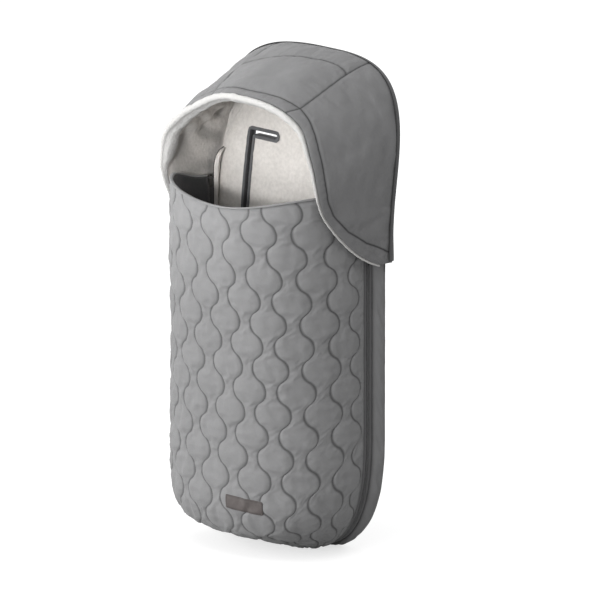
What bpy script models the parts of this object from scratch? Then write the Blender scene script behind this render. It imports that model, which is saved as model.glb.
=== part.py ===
"""Car seat footmuff: quilted zip-off cover, padded back with harness slots, and a hood.

The muff stands upright on its flat foot. X runs to the viewer's right, -Y to the front, Z up.
Every place is worked out in a frame whose Y = 0 is the plane of the zip. At the end the whole
part is moved in Y, so that the origin is the middle of its box, at the floor.
"""

from math import cos, hypot, pi, sin

import bmesh
import bpy
import numpy as np
from mathutils import Vector
from mathutils.bvhtree import BVHTree

# Room left between neighbouring pieces, and between sewn layers
GAP = 0.0003

# Tub: the edge that the zip runs along, seen from the front
ZIP_HALF_WIDTH = 0.183
BACK_FLARE = 0.0085
BACK_HALF_WIDTH = ZIP_HALF_WIDTH + BACK_FLARE
FOOT_HALF_WIDTH = 0.045
CORNER_RISE = 0.210
CORNER_POWER = 2.6
CORNER_STEPS = 9

# Back panel: upright below, leaning back above, with an arched top
GUSSET_DEPTH = 0.029
LEAN_START = 0.436
LEAN_DEPTH = 0.0435
ARCH_START = 0.586
BACK_TOP = 0.758
ARCH_POWER = 2.1
BACK_COLUMNS = 10
LEAN_ROWS = 4
BACK_ARCH_ROWS = 7

# Thickness of the sewn layers
SHELL_THICKNESS = 0.0015
FLEECE_THICKNESS = 0.0030
BACK_WADDING = 0.0077
COVER_WADDING = 0.0040

# Harness slots: bound slits in the back, shaped like a hook, and the crotch strap's slit
SLOT_WIDTH = 0.007
SLOT_X = 0.120
SLOT_TOP = 0.6535
SLOT_BOTTOM = 0.346
SLOT_BRANCH_END = 0.062
CROTCH_SLOT_LENGTH = 0.060
CROTCH_SLOT_HEIGHT = 0.225
BINDING_LIP = 0.0045
BINDING_THICKNESS = 0.0012
BINDING_WALL = 0.0020
BINDING_STEP = 0.03

# Zip
ZIP_TOP = 0.5735
COIL_WIDTH = 0.0025
COIL_THICKNESS = 0.0024
COIL_PARTING = 0.0006
TAPE_WIDTH = 0.0051
TAPE_THICKNESS = 0.0008
STOP_HEIGHT = 0.0028
STOP_WIDTH = 0.0032
SLIDER_LENGTH = 0.014
SLIDER_HALF_WIDTH = 0.0042
SLIDER_PLATE = 0.0012
SLIDER_WEB = 0.0006
SLIDER_REST = 0.564
PULL_PIN_RADIUS = 0.0007
PULL_PIN_STAND_OFF = 0.0030
PULL_EAR_THICKNESS = 0.0009
PULL_WIDTH = 0.0056
PULL_LENGTH = 0.018
PULL_THICKNESS = 0.0012
PULL_EYE_RADIUS = 0.0018
PULL_EAR_HALF_HEIGHT = 0.0022
PULL_TAPER = 0.0030

# Cover: a deep quilted tub front, flat below so that the muff stands
COVER_DEPTH = 0.162
COVER_SECTION_POWER = 2.6
COVER_FOOT_DEPTH = 0.036
COVER_TOE_RISE = 0.090
COVER_TOE_POWER = 1.5
NECK_SIDE_HEIGHT = 0.579
NECK_RISE_LEFT = 0.021
NECK_RISE_MIDDLE = 0.006
NECK_RISE_RIGHT = 0.034
NECK_RISE_END = 0.008
NECK_RISES = ((-1.0, 0.0), (-0.62, NECK_RISE_LEFT), (0.0, NECK_RISE_MIDDLE),
              (0.74, NECK_RISE_RIGHT), (1.0, NECK_RISE_END))
HEM_HEIGHT = 0.0065

# Quilting: wavy sewn lines, neighbours mirrored
QUILT_PITCH = 0.042
QUILT_SWING = 0.0115
QUILT_PERIOD = 0.077
QUILT_DEPTH = 0.0032
COVER_TOE_ROWS = 7

# Blank label patch on the cover
LABEL_WIDTH = 0.070
LABEL_HEIGHT = 0.020
LABEL_THICKNESS = 0.0010
LABEL_STEPS = 8
LABEL_X = 0.060
LABEL_Z = 0.095

# Hood: an arched cap from the brim to just behind the back panel
HOOD_SPRING_HEIGHT = 0.586
HOOD_BRIM_Y = -0.106
HOOD_BRIM_TOP = 0.760
HOOD_REAR_TOP = 0.806
HOOD_BRIM_MARGIN = 0.003
HOOD_BRIM_HALF_WIDTH = ZIP_HALF_WIDTH + HOOD_BRIM_MARGIN
HOOD_BRIM_POWER = 2.7
HOOD_REAR_POWER = 3.2
HOOD_FLAP_FLARE = 0.003
HOOD_FLAP_LOW = 0.490
HOOD_FLAP_CORNER_Y = 0.030
HOOD_FLAP_CORNER_Z = 0.486
HOOD_FLAP_TURN_Z = 0.616
HOOD_FLAP_POWER = 1.6
HOOD_THICKNESS = 0.011
HOOD_FLAP_THICKNESS = 0.0040
HOOD_SIDE_CLEARANCE = 0.0055
HOOD_REAR_HALF_WIDTH = BACK_HALF_WIDTH + HOOD_FLAP_THICKNESS + HOOD_SIDE_CLEARANCE
HOOD_THIN_BELOW = 0.615
HOOD_THICK_ABOVE = 0.700
HOOD_REAR_STAND_OFF = 0.004
BAND_END = 0.20
CROWN_SEAM = 0.72
PANEL_SEAM = 0.19
PANEL_SEAM_FRONT = 0.235
PANEL_SEAM_REAR = 0.158
CROWN_EASE = 0.67
ARCH_SHARE = 0.72
HOOD_DEPTHS = [0.0, BAND_END / 2, BAND_END, 0.37, 0.54, CROWN_SEAM, 0.86, 1.0]
SEAM_SHARE = 0.0012
SLOPE_SHARE = 0.004
RIM_RADIUS = 0.0055
RIM_FLAP_RADIUS = 0.0024
CAP_BAND_WIDTH = 0.062
CAP_BAND_THICKNESS = 0.002
CAP_BAND_LOW = 0.522
ELASTIC_RADIUS = 0.002

# Snaps that carry the hood at its lower ends, on the hood's hinge axis
SNAP_INSET = 0.010
SNAP_Y = HOOD_FLAP_CORNER_Y - SNAP_INSET
SNAP_Z = HOOD_FLAP_LOW + SNAP_INSET
SNAP_RADIUS = 0.005
SNAP_POST_RADIUS = 0.0025
SNAP_FLANGE = 0.0010
SNAP_CENTRE = 0.0004

# Colours, as linear red, green and blue
GREY_FABRIC = (0.165, 0.165, 0.168)
DARK_FABRIC = (0.032, 0.032, 0.035)
CREAM_FLEECE = (0.72, 0.66, 0.58)
WHITE_WADDING = (0.82, 0.82, 0.80)
ZIP_GREY = (0.060, 0.060, 0.064)
ZIP_METAL = (0.050, 0.048, 0.046)
LABEL_BROWN = (0.075, 0.055, 0.047)

ZIP_BAND_HALF = COIL_PARTING + COIL_WIDTH + GAP + TAPE_WIDTH + GAP


def clear_scene():
    for old in list(bpy.data.objects):
        bpy.data.objects.remove(old, do_unlink=True)


def make_material(name, colour, roughness, metallic=0.0):
    material = bpy.data.materials.new(name)
    material.use_nodes = True
    shader = material.node_tree.nodes["Principled BSDF"]
    shader.inputs["Base Color"].default_value = (*colour, 1.0)
    shader.inputs["Roughness"].default_value = roughness
    shader.inputs["Metallic"].default_value = metallic
    return material


def add_object(name, points, faces, material, smooth=True, origin=(0.0, 0.0, 0.0)):
    """One closed mesh as an object; its origin goes to the given point."""
    mesh = bpy.data.meshes.new(name)
    start = Vector(origin)
    mesh.from_pydata([Vector(p) - start for p in points], [], faces)
    mesh.validate()
    face_out(mesh)
    mesh.materials.append(material)
    if smooth:
        mesh.shade_smooth()
        mesh.set_sharp_from_angle(angle=pi / 5)
    thing = bpy.data.objects.new(name, mesh)
    thing.location = start
    bpy.context.collection.objects.link(thing)
    return thing


def face_out(mesh):
    """Turn all faces of a closed mesh outward."""
    work = bmesh.new()
    work.from_mesh(mesh)
    bmesh.ops.recalc_face_normals(work, faces=work.faces)
    work.to_mesh(mesh)
    work.free()


def grid_solid(near, far):
    """Points and faces of the closed slab between two grids of points of the same size."""
    rows, columns = len(near), len(near[0])
    points = [p for row in near for p in row] + [p for row in far for p in row]
    layer = rows * columns

    def at(side, row, column):
        return side * layer + row * columns + column

    faces = []
    for i in range(rows - 1):
        for j in range(columns - 1):
            faces.append((at(0, i, j), at(0, i, j + 1), at(0, i + 1, j + 1), at(0, i + 1, j)))
            faces.append((at(1, i, j), at(1, i + 1, j), at(1, i + 1, j + 1), at(1, i, j + 1)))
    for j in range(columns - 1):
        for i in (0, rows - 1):
            faces.append((at(0, i, j), at(1, i, j), at(1, i, j + 1), at(0, i, j + 1)))
    for i in range(rows - 1):
        for j in (0, columns - 1):
            faces.append((at(0, i, j), at(0, i + 1, j), at(1, i + 1, j), at(1, i, j)))
    return points, faces


def loft_rings(rings, closed_path=False):
    """Points and faces of a solid swept through rings of equal size, capped at its ends."""
    count = len(rings[0])
    points = [p for ring in rings for p in ring]
    faces = []
    last = len(rings) if closed_path else len(rings) - 1
    for i in range(last):
        a = i * count
        b = ((i + 1) % len(rings)) * count
        for j in range(count):
            k = (j + 1) % count
            faces.append((a + j, a + k, b + k, b + j))
    if not closed_path:
        faces.append(tuple(range(count)))
        faces.append(tuple(range(len(points) - count, len(points))))
    return points, faces


def blend(a, b, share):
    return a + (b - a) * share


def quarter(power, share):
    """Point on a quarter of a superellipse of unit size, from (0, 1) to (1, 0)."""
    angle = pi / 2 * share
    return sin(angle) ** (2 / power), max(0.0, cos(angle)) ** (2 / power)


def back_y(z):
    """Outer face of the back panel."""
    return GUSSET_DEPTH + LEAN_DEPTH * (max(0.0, z - LEAN_START) / (BACK_TOP - LEAN_START)) ** 2


def arch_share(z):
    """Half width of the back above the arch's start, as a share of the width below it."""
    rise = max(0.0, z - ARCH_START) / (BACK_TOP - ARCH_START)
    return max(0.0, 1.0 - rise ** ARCH_POWER) ** (1 / ARCH_POWER)


def tub_outline(half_width, top):
    """The U-shaped edge from the left top, round the foot, to the right top, as (x, z)."""
    right = []
    for step in range(CORNER_STEPS + 1):
        across, down = quarter(CORNER_POWER, step / CORNER_STEPS)
        right.append((blend(FOOT_HALF_WIDTH, half_width, across), CORNER_RISE * (1 - down)))
    right += [(half_width * arch_share(z), z) for z in side_heights() if z < top]
    right.append((half_width * arch_share(top), top))
    left = [(-x, z) for x, z in reversed(right)]
    return left + right


def side_heights():
    """Heights above the rounded corners at which every layer of the tub has a row of points."""
    heights = [blend(LEAN_START, ARCH_START, k / LEAN_ROWS) for k in range(LEAN_ROWS + 1)]
    for step in range(1, BACK_ARCH_ROWS + 1):
        rise = sin(pi / 2 * step / (BACK_ARCH_ROWS + 1))
        heights.append(blend(ARCH_START, BACK_TOP, rise))
    return heights


def offset_outline(outline, distance):
    """The outline moved outward, with mitred corners."""
    moved = []
    for i, (x, z) in enumerate(outline):
        before = outline[max(i - 1, 0)]
        after = outline[min(i + 1, len(outline) - 1)]
        first = outward(before, (x, z)) if i > 0 else outward((x, z), after)
        second = outward((x, z), after) if i < len(outline) - 1 else first
        nx, nz = first[0] + second[0], first[1] + second[1]
        scale = 2 * distance / (nx * nx + nz * nz)
        moved.append((x + nx * scale, z + nz * scale))
    return moved


def outward(a, b):
    dx, dz = b[0] - a[0], b[1] - a[1]
    length = hypot(dx, dz)
    return dz / length, -dx / length


def tub_half_width(y, z):
    """Half width of the tub's side at a depth behind the zip."""
    share = (y - ZIP_BAND_HALF) / (back_y(z) - ZIP_BAND_HALF)
    return blend(ZIP_HALF_WIDTH, BACK_HALF_WIDTH, min(1.0, max(0.0, share)))


def rim_solid(profile, top):
    """A strip along the tub's edge. The profile lists (y, from the back?, distance outward)."""
    lines = []
    for y, from_back, distance in profile:
        share = 1 + y / (GUSSET_DEPTH - ZIP_BAND_HALF) if from_back else (
            (y - ZIP_BAND_HALF) / (GUSSET_DEPTH - ZIP_BAND_HALF))
        line = offset_outline(tub_outline(gusset_half_width(share), top), distance)
        lines.append([(x, (back_y(z) if from_back else 0.0) + y, z) for x, z in line])
    return loft_rings([list(ring) for ring in zip(*lines)])


def strip_profile(y_start, y_end, outer, inner):
    return [(y_start, False, outer), (y_end, False, outer), (y_end, False, inner),
            (y_start, False, inner)]


# Back panel

def gusset_half_width(share):
    """Half width of the gusset, from the zip (0) to the back's outer face (1)."""
    return blend(ZIP_HALF_WIDTH, BACK_HALF_WIDTH, min(1.0, max(0.0, share)))


def back_face(depth, inset):
    """Grid of points on the back, a depth in front of its outer face, drawn in all round."""
    half_width = gusset_half_width(1 - depth / (GUSSET_DEPTH - ZIP_BAND_HALF))
    outline = offset_outline(tub_outline(half_width, side_heights()[-1]), -inset)
    columns = [2 * j / BACK_COLUMNS - 1 for j in range(BACK_COLUMNS + 1)]
    return [[(half * j, back_y(z) - depth, z) for j in columns]
            for half, z in outline[len(outline) // 2:]]


def back_layer(name, front, rear, inset, material):
    """One layer of the back, between two depths in front of the outer face."""
    solid = grid_solid(back_face(front, inset), back_face(rear, inset))
    layer = add_object(name, *solid, material, smooth=False)
    for cutter in slot_cutters(name):
        cut = layer.modifiers.new("slot", "BOOLEAN")
        cut.operation = "DIFFERENCE"
        cut.object = cutter
    return layer


def hook_loop(side, grow):
    """Outline of one hook-shaped slit, grown all round, as (x, z) for the given side."""
    half = SLOT_WIDTH / 2 + grow
    outer = SLOT_X + half
    inner = SLOT_X - half
    end = SLOT_BRANCH_END - grow
    top = SLOT_TOP + half
    under = SLOT_TOP - half
    low = SLOT_BOTTOM - grow
    return [(side * x, z) for x, z in
            [(outer, low), (outer, top), (end, top), (end, under), (inner, under), (inner, low)]]


def crotch_loop(grow):
    half_x = CROTCH_SLOT_LENGTH / 2 + grow
    half_z = SLOT_WIDTH / 2 + grow
    z = CROTCH_SLOT_HEIGHT
    return [(-half_x, z - half_z), (half_x, z - half_z), (half_x, z + half_z),
            (-half_x, z + half_z)]


def split_loop(loop):
    """The loop with points added, so that it can follow the leaning back."""
    points = []
    for i, (x, z) in enumerate(loop):
        nx, nz = loop[(i + 1) % len(loop)]
        pieces = loop_pieces(i, len(loop))
        for k in range(pieces):
            points.append((blend(x, nx, k / pieces), blend(z, nz, k / pieces)))
    return points


def loop_pieces(edge, edges):
    """How many pieces an edge of a loop is split into: the same whatever the loop has grown."""
    loop = hook_loop(1, 0.0) if edges == 6 else crotch_loop(0.0)
    x, z = loop[edge]
    nx, nz = loop[(edge + 1) % edges]
    return max(1, round(hypot(nx - x, nz - z) / BINDING_STEP))


def slot_cutters(layer):
    cutters = []
    grow = BINDING_WALL + GAP
    loops = {"left": hook_loop(-1, grow), "right": hook_loop(1, grow), "crotch": crotch_loop(grow)}
    for place, loop in loops.items():
        rings = [[(x, y, z) for x, z in loop] for y in (-GUSSET_DEPTH, back_y(BACK_TOP))]
        points, faces = loft_rings(rings)
        cutter = add_object(f"{layer}_{place}_cutter", points, faces, None, smooth=False)
        cutter.hide_render = True
        cutter.display_type = "WIRE"
        cutters.append(cutter)
    return cutters


def slot_binding(name, loop_of, material):
    """A channel-shaped binding that wraps the slit's edge through all the layers of the back."""
    front = SHELL_THICKNESS + BACK_WADDING + FLEECE_THICKNESS + 3 * GAP
    lip = BINDING_THICKNESS
    profile = [(0.0, front + lip), (BINDING_LIP, front + lip), (BINDING_LIP, front),
               (BINDING_WALL, front), (BINDING_WALL, -GAP), (BINDING_LIP, -GAP),
               (BINDING_LIP, -GAP - lip), (0.0, -GAP - lip)]
    loops = [[(x, back_y(z) - depth, z) for x, z in split_loop(loop_of(grow))]
             for grow, depth in profile]
    points, faces = loft_rings(loops, closed_path=True)
    return add_object(name, points, faces, material, smooth=False)


# Cover

def neck_height(share):
    """Height of the cover's top edge above its left end, eased between a few chosen places."""
    for (start, low), (end, high) in zip(NECK_RISES, NECK_RISES[1:]):
        if share <= end:
            along = (share - start) / (end - start)
            return blend(low, high, (1 - cos(pi * along)) / 2)
    return NECK_RISES[-1][1]


def cover_rows():
    """Rows of the cover as (toe share, height share): round the toe, then up the front."""
    rows = [(step / COVER_TOE_ROWS, 0.0) for step in range(COVER_TOE_ROWS + 1)]
    rise = NECK_SIDE_HEIGHT - HEM_HEIGHT - COVER_TOE_RISE
    count = round(rise / (QUILT_PERIOD / 2))
    rows += [(1.0, step / count) for step in range(1, count + 1)]
    return rows


def cover_section(toe, height):
    """Points across the cover at one row, evenly spread along its curve."""
    across, down = quarter(CORNER_POWER, toe)
    half = blend(FOOT_HALF_WIDTH, ZIP_HALF_WIDTH, across)
    z_side = CORNER_RISE * (1 - down)
    foot_rows = 2 / COVER_TOE_ROWS
    turn = max(0.0, (toe - foot_rows) / (1 - foot_rows))
    out, low = quarter(COVER_TOE_POWER, turn)
    depth = blend(COVER_FOOT_DEPTH * min(1.0, toe / foot_rows), COVER_DEPTH, out)
    z_front = COVER_TOE_RISE * (1 - low)
    angles = np.linspace(0.0, pi, 241)
    c = np.cos(angles)
    x = -half * np.sign(c) * np.abs(c) ** (2 / COVER_SECTION_POWER)
    bulge = np.abs(np.sin(angles)) ** (2 / COVER_SECTION_POWER)
    y = -ZIP_BAND_HALF - depth * bulge
    z = z_side + (z_front - z_side) * bulge
    arc = np.concatenate([[0.0], np.cumsum(np.hypot(np.diff(x), np.diff(y)))])
    share = 2 * arc / arc[-1] - 1
    if height > 0:
        base = z.copy()
        top = NECK_SIDE_HEIGHT - HEM_HEIGHT + np.array([neck_height(s) for s in share])
        z = base + (top - base) * height
    return share, np.stack([x, y, z], axis=1), arc[-1]


def cover_point(row, share):
    shares, line, _ = cover_section(*row)
    return np.array([np.interp(share, shares, line[:, k]) for k in range(3)])


def cover_lines():
    """The quilt's lines across the cover, as shares of its width at full depth."""
    _, _, arc = cover_section(1.0, 0.5)
    count = round(arc / QUILT_PITCH) - 1
    return [2 * (k + 1) / (count + 1) - 1 for k in range(count)], arc


def row_travel(rows):
    """Length along the middle of the cover up to each row."""
    middles = [cover_point(row, 0.0) for row in rows]
    travel = [0.0]
    for a, b in zip(middles, middles[1:]):
        travel.append(travel[-1] + float(np.linalg.norm(b - a)))
    return travel


def cover_grid():
    """Grid points, their outward directions, and how deep the quilting sinks at each."""
    rows = cover_rows()
    lines, arc = cover_lines()
    swing = 2 * QUILT_SWING / arc
    phase = row_travel(rows)
    points, sink = [], []
    for row, travel in zip(rows, phase):
        wave = cos(2 * pi * (phase[-1] - travel) / QUILT_PERIOD)
        sewn = [line + swing * wave * (1 if k % 2 else -1) for k, line in enumerate(lines)]
        marks = [-1.0] + sewn + [1.0]
        shares, depths = [], []
        for k, mark in enumerate(marks):
            shares.append(mark)
            depths.append(QUILT_DEPTH)
            if k < len(marks) - 1:
                width = (marks[k + 1] - mark) * arc / 2
                shares.append((mark + marks[k + 1]) / 2)
                full = QUILT_PITCH + 2 * QUILT_SWING
                depths.append(QUILT_DEPTH * max(0.0, 1 - (width / full) ** 0.7))
        line_shares, line, _ = cover_section(*row)
        points.append([[np.interp(s, line_shares, line[:, k]) for k in range(3)] for s in shares])
        sink.append(depths)
    points = np.array(points)
    sink = np.array(sink)
    sink[0, :] = 0.0
    return points, square_to_zip(points, grid_directions(points)), sink


def grid_directions(points):
    """Outward direction at each point of a grid, away from the grid's own middle."""
    along = np.gradient(points, axis=0)
    across = np.gradient(points, axis=1)
    normal = np.cross(along, across)
    normal /= np.linalg.norm(normal, axis=2, keepdims=True)
    inside = points.reshape(-1, 3).mean(axis=0)
    if (normal * (points - inside)).sum() < 0:
        normal = -normal
    return normal


def square_to_zip(points, directions):
    """The directions, with those along the zip turned level with the zip's plane."""
    squared = directions.copy()
    for column, hand in ((0, -1), (-1, 1)):
        along = np.gradient(points[:, column], axis=0)
        level = np.zeros(len(along))
        squared[:, column] = np.stack([along[:, 2], level, -along[:, 0]], axis=1) * hand
    squared[0, :] = (0.0, 0.0, -1.0)
    return squared / np.linalg.norm(squared, axis=2, keepdims=True)


def offset_grid(points, directions, distance):
    moved = points + directions * np.asarray(distance)[..., None]
    moved[..., 2] = np.maximum(moved[..., 2], 0.0)
    return moved.tolist()


def make_cover(materials):
    points, out, sink = cover_grid()
    shell_in = -QUILT_DEPTH - SHELL_THICKNESS
    lining_out = shell_in - COVER_WADDING - 2 * GAP
    lining_in = lining_out - SHELL_THICKNESS
    flat = np.ones_like(sink)
    layers = {
        "cover_shell": (-sink, -sink - SHELL_THICKNESS, "grey"),
        "cover_padding": (-sink - SHELL_THICKNESS - GAP, flat * (lining_out + GAP), "wadding"),
        "cover_lining": (flat * lining_out, flat * lining_in, "dark"),
    }
    solids = {}
    for name, (near, far, finish) in layers.items():
        solids[name] = grid_solid(offset_grid(points, out, near), offset_grid(points, out, far))
        add_object(name, *solids[name], materials[finish], smooth=False)
    make_neck_hem(points[-1], out[-1], lining_in, materials)
    make_label(solids["cover_shell"], materials)


def make_neck_hem(edge, out, inner, materials):
    """The turned edge along the cover's top, over all its layers."""
    rings = []
    flat = out * np.array([1.0, 1.0, 0.0])
    flat /= np.linalg.norm(flat, axis=1, keepdims=True)
    for point, way in zip(edge, flat):
        low = point + np.array([0.0, 0.0, 2 * GAP])
        high = point + np.array([0.0, 0.0, HEM_HEIGHT])
        rings.append([(low + way * inner).tolist(), low.tolist(), high.tolist(),
                      (high + way * inner).tolist()])
    add_object("cover_neck_hem", *loft_rings(rings), materials["grey"], smooth=False)


def make_label(shell, materials):
    """A blank sewn patch that lies on the crowns of the quilting."""
    tree = BVHTree.FromPolygons(*shell)
    xs = [LABEL_X + LABEL_WIDTH * (k / LABEL_STEPS - 0.5) for k in range(LABEL_STEPS + 1)]
    heights = [LABEL_Z + LABEL_HEIGHT * (k / 4 - 0.5) for k in range(5)]
    ahead, back = -2 * COVER_DEPTH, Vector((0.0, 1.0, 0.0))
    front = [[tree.ray_cast(Vector((x, ahead, z)), back)[0].y for x in xs] for z in heights]
    near, far = [], []
    for z, picks in ((heights[0], front[:3]), (heights[-1], front[2:])):
        crest = [min(row[k] for row in picks) for k in range(len(xs))]
        eased = [min(crest[max(k - 1, 0):k + 2]) - 2 * GAP for k in range(len(xs))]
        near.append([(x, y, z) for x, y in zip(xs, eased)])
        far.append([(x, y - LABEL_THICKNESS, z) for x, y in zip(xs, eased)])
    add_object("label_patch", *grid_solid(near, far), materials["label"], smooth=False)


# Hood

def hood_front_y(z):
    """The hood's front border: upright at the brim, swept back along the flap's lower edge."""
    if z >= HOOD_FLAP_TURN_Z:
        return HOOD_BRIM_Y
    drop = (HOOD_FLAP_TURN_Z - z) / (HOOD_FLAP_TURN_Z - HOOD_FLAP_CORNER_Z)
    reach = max(0.0, 1 - drop ** HOOD_FLAP_POWER) ** (1 / HOOD_FLAP_POWER)
    return HOOD_FLAP_CORNER_Y - (HOOD_FLAP_CORNER_Y - HOOD_BRIM_Y) * reach


def hood_point(side, depth):
    """Outer face of the hood. side: -1 left end, 0 crown, 1 right end; depth: 0 brim, 1 rear."""
    hand = -1 if side < 0 else 1
    way = seam_way(abs(side), depth)
    power = blend(HOOD_BRIM_POWER, HOOD_REAR_POWER, depth)
    rise = blend(1 - (1 - depth) ** 2, depth ** 2 * (3 - 2 * depth), CROWN_EASE)
    top = blend(HOOD_BRIM_TOP, HOOD_REAR_TOP, rise)
    down = max(0.0, way - ARCH_SHARE) / (1 - ARCH_SHARE)
    across, up = quarter(power, min(1.0, way / ARCH_SHARE))
    z = HOOD_SPRING_HEIGHT + (top - HOOD_SPRING_HEIGHT) * up
    if down > 0:
        across, z = 1.0, blend(HOOD_SPRING_HEIGHT, HOOD_FLAP_LOW, down)
    y = blend(hood_front_y(z), back_y(z) + HOOD_REAR_STAND_OFF, depth)
    half = hood_half_width(y, z) + HOOD_FLAP_FLARE * down
    return np.array([hand * half * across, y, z])


def seam_way(way, depth):
    """The way round the hood, shifted so that the panel seams draw together towards the rear."""
    seam = blend(PANEL_SEAM_FRONT, PANEL_SEAM_REAR, depth)
    return float(np.interp(way, [0.0, PANEL_SEAM, ARCH_SHARE, 1.0], [0.0, seam, ARCH_SHARE, 1.0]))


def hood_half_width(y, z):
    """Half width of the hood's outer face, wider towards the rear."""
    reach = (y - HOOD_BRIM_Y) / (back_y(z) + HOOD_REAR_STAND_OFF - HOOD_BRIM_Y)
    return blend(HOOD_BRIM_HALF_WIDTH, HOOD_REAR_HALF_WIDTH, reach)


def hood_thickness(z):
    share = (z - HOOD_THIN_BELOW) / (HOOD_THICK_ABOVE - HOOD_THIN_BELOW)
    return blend(HOOD_FLAP_THICKNESS, HOOD_THICKNESS, min(1.0, max(0.0, share)))


def hood_direction(side, depth):
    near = SLOPE_SHARE
    low = min(max(side, -1 + near), 1 - near)
    mid = min(max(depth, near), 1 - near)
    along = hood_point(low + near, mid) - hood_point(low - near, mid)
    inward = hood_point(low, mid + near) - hood_point(low, mid - near)
    way = np.cross(inward, along)
    way /= np.linalg.norm(way)
    from_middle = hood_point(side, depth) - np.array([0.0, 0.0, HOOD_SPRING_HEIGHT])
    return way if np.dot(way, from_middle) > 0 else -way


def hood_inside(side, depth, below):
    """Point below the hood's outer face; the rear edge is trimmed in line with the back."""
    point = hood_point(side, depth) - hood_direction(side, depth) * below
    if depth == 1.0:
        point[1] = back_y(point[2]) + HOOD_REAR_STAND_OFF
    return point.tolist()


def hood_sides():
    """Stops across the hood; the panel seams are among them."""
    arch = [PANEL_SEAM * k / 2 for k in range(2)]
    arch += [blend(PANEL_SEAM, ARCH_SHARE, k / 8) for k in range(8)]
    flap = [blend(ARCH_SHARE, 1.0, k / 4) for k in range(5)]
    right = arch + flap
    return [-s for s in reversed(right[1:])] + right


def hood_sheet(name, sides, depths, outer, inner, material):
    """A layer of the hood between two depths below its outer face."""
    near, far = [], []
    for side in sides:
        row_near, row_far = [], []
        for depth in depths:
            thickness = hood_thickness(hood_point(side, depth)[2])
            row_near.append(hood_inside(side, depth, outer(thickness)))
            row_far.append(hood_inside(side, depth, inner(thickness)))
        near.append(row_near)
        far.append(row_far)
    add_object(name, *grid_solid(near, far), material)


def between(stops, low, high):
    """The stops from low to high, drawn in a little at both ends for the seam."""
    inside = [s for s in stops if low + SEAM_SHARE * 2 < s < high - SEAM_SHARE * 2]
    start = low if low in (-1.0, 0.0) else low + SEAM_SHARE
    end = high if high == 1.0 else high - SEAM_SHARE
    return [start] + inside + [end]


def make_hood(materials):
    sides = hood_sides()
    depths = HOOD_DEPTHS

    def skin(name, low, high, front, rear):
        hood_sheet(name, side_stops(sides, low, high), between(depths, front, rear),
                   lambda t: 0.0, lambda t: SHELL_THICKNESS, materials["grey"])

    skin("hood_band_left", -1.0, -PANEL_SEAM, 0.0, BAND_END)
    skin("hood_band_top", -PANEL_SEAM, PANEL_SEAM, 0.0, BAND_END)
    skin("hood_band_right", PANEL_SEAM, 1.0, 0.0, BAND_END)
    skin("hood_side_left", -1.0, -PANEL_SEAM, BAND_END, 1.0)
    skin("hood_front_panel", -PANEL_SEAM, PANEL_SEAM, BAND_END, CROWN_SEAM)
    skin("hood_crown_panel", -PANEL_SEAM, PANEL_SEAM, CROWN_SEAM, 1.0)
    skin("hood_side_right", PANEL_SEAM, 1.0, BAND_END, 1.0)
    fleece = SHELL_THICKNESS
    hood_sheet("hood_padding", sides, depths, lambda t: SHELL_THICKNESS + GAP,
               lambda t: t - fleece - GAP, materials["wadding"])
    hood_sheet("hood_lining", sides, depths, lambda t: t - fleece, lambda t: t,
               materials["fleece"])
    make_fleece_rim(sides, materials)
    make_cap_band(sides, materials)


def side_stops(sides, low, high):
    inside = [s for s in sides if low + SEAM_SHARE < s < high - SEAM_SHARE]
    start = low if low == -1.0 else low + SEAM_SHARE
    end = high if high == 1.0 else high - SEAM_SHARE
    return [start] + inside + [end]


def tube(path, radii, ring_sides):
    """Points and faces of a round tube along a path that stays near one plane."""
    rings = []
    for i, centre in enumerate(path):
        ahead = path[min(i + 1, len(path) - 1)] - path[max(i - 1, 0)]
        ahead = ahead / np.linalg.norm(ahead)
        first = np.cross(ahead, np.array([0.0, 1.0, 0.0]))
        if np.linalg.norm(first) < 0.2:
            first = np.cross(ahead, np.array([1.0, 0.0, 0.0]))
        first /= np.linalg.norm(first)
        second = np.cross(ahead, first)
        turns = [2 * pi * k / ring_sides for k in range(ring_sides)]
        rings.append([(centre + radii[i] * (first * cos(a) + second * sin(a))).tolist()
                      for a in turns])
    return loft_rings(rings)


def make_fleece_rim(sides, materials):
    """The rolled fleece edge that runs along the hood's front border."""
    path, radii = [], []
    for i, side in enumerate(sides):
        point = hood_point(side, 0.0)
        border = (hood_point(sides[min(i + 1, len(sides) - 1)], 0.0)
                  - hood_point(sides[max(i - 1, 0)], 0.0))
        ahead = np.cross(border, hood_direction(side, 0.0))
        ahead *= np.sign(np.dot(ahead, point - hood_point(side, 0.05))) / np.linalg.norm(ahead)
        share = (point[2] - HOOD_THIN_BELOW) / (HOOD_THICK_ABOVE - HOOD_THIN_BELOW)
        radius = blend(RIM_FLAP_RADIUS, RIM_RADIUS, min(1.0, max(0.0, share)))
        middle = point - hood_direction(side, 0.0) * hood_thickness(point[2]) / 2
        path.append(middle + ahead * (radius + 2 * GAP))
        radii.append(radius)
    add_object("hood_fleece_rim", *tube(path, radii, 8), materials["fleece"])


def cap_point(side, inward):
    """Point behind the hood's rear border, moved towards the middle of the back."""
    edge = hood_point(side, 1.0)
    scale_x = 1 - inward / HOOD_REAR_HALF_WIDTH
    z = min(edge[2], HOOD_SPRING_HEIGHT)
    if edge[2] > HOOD_SPRING_HEIGHT:
        rise = HOOD_REAR_TOP - HOOD_SPRING_HEIGHT
        z = HOOD_SPRING_HEIGHT + (edge[2] - HOOD_SPRING_HEIGHT) * (1 - inward / rise)
    return np.array([edge[0] * scale_x, back_y(z), z])


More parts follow.
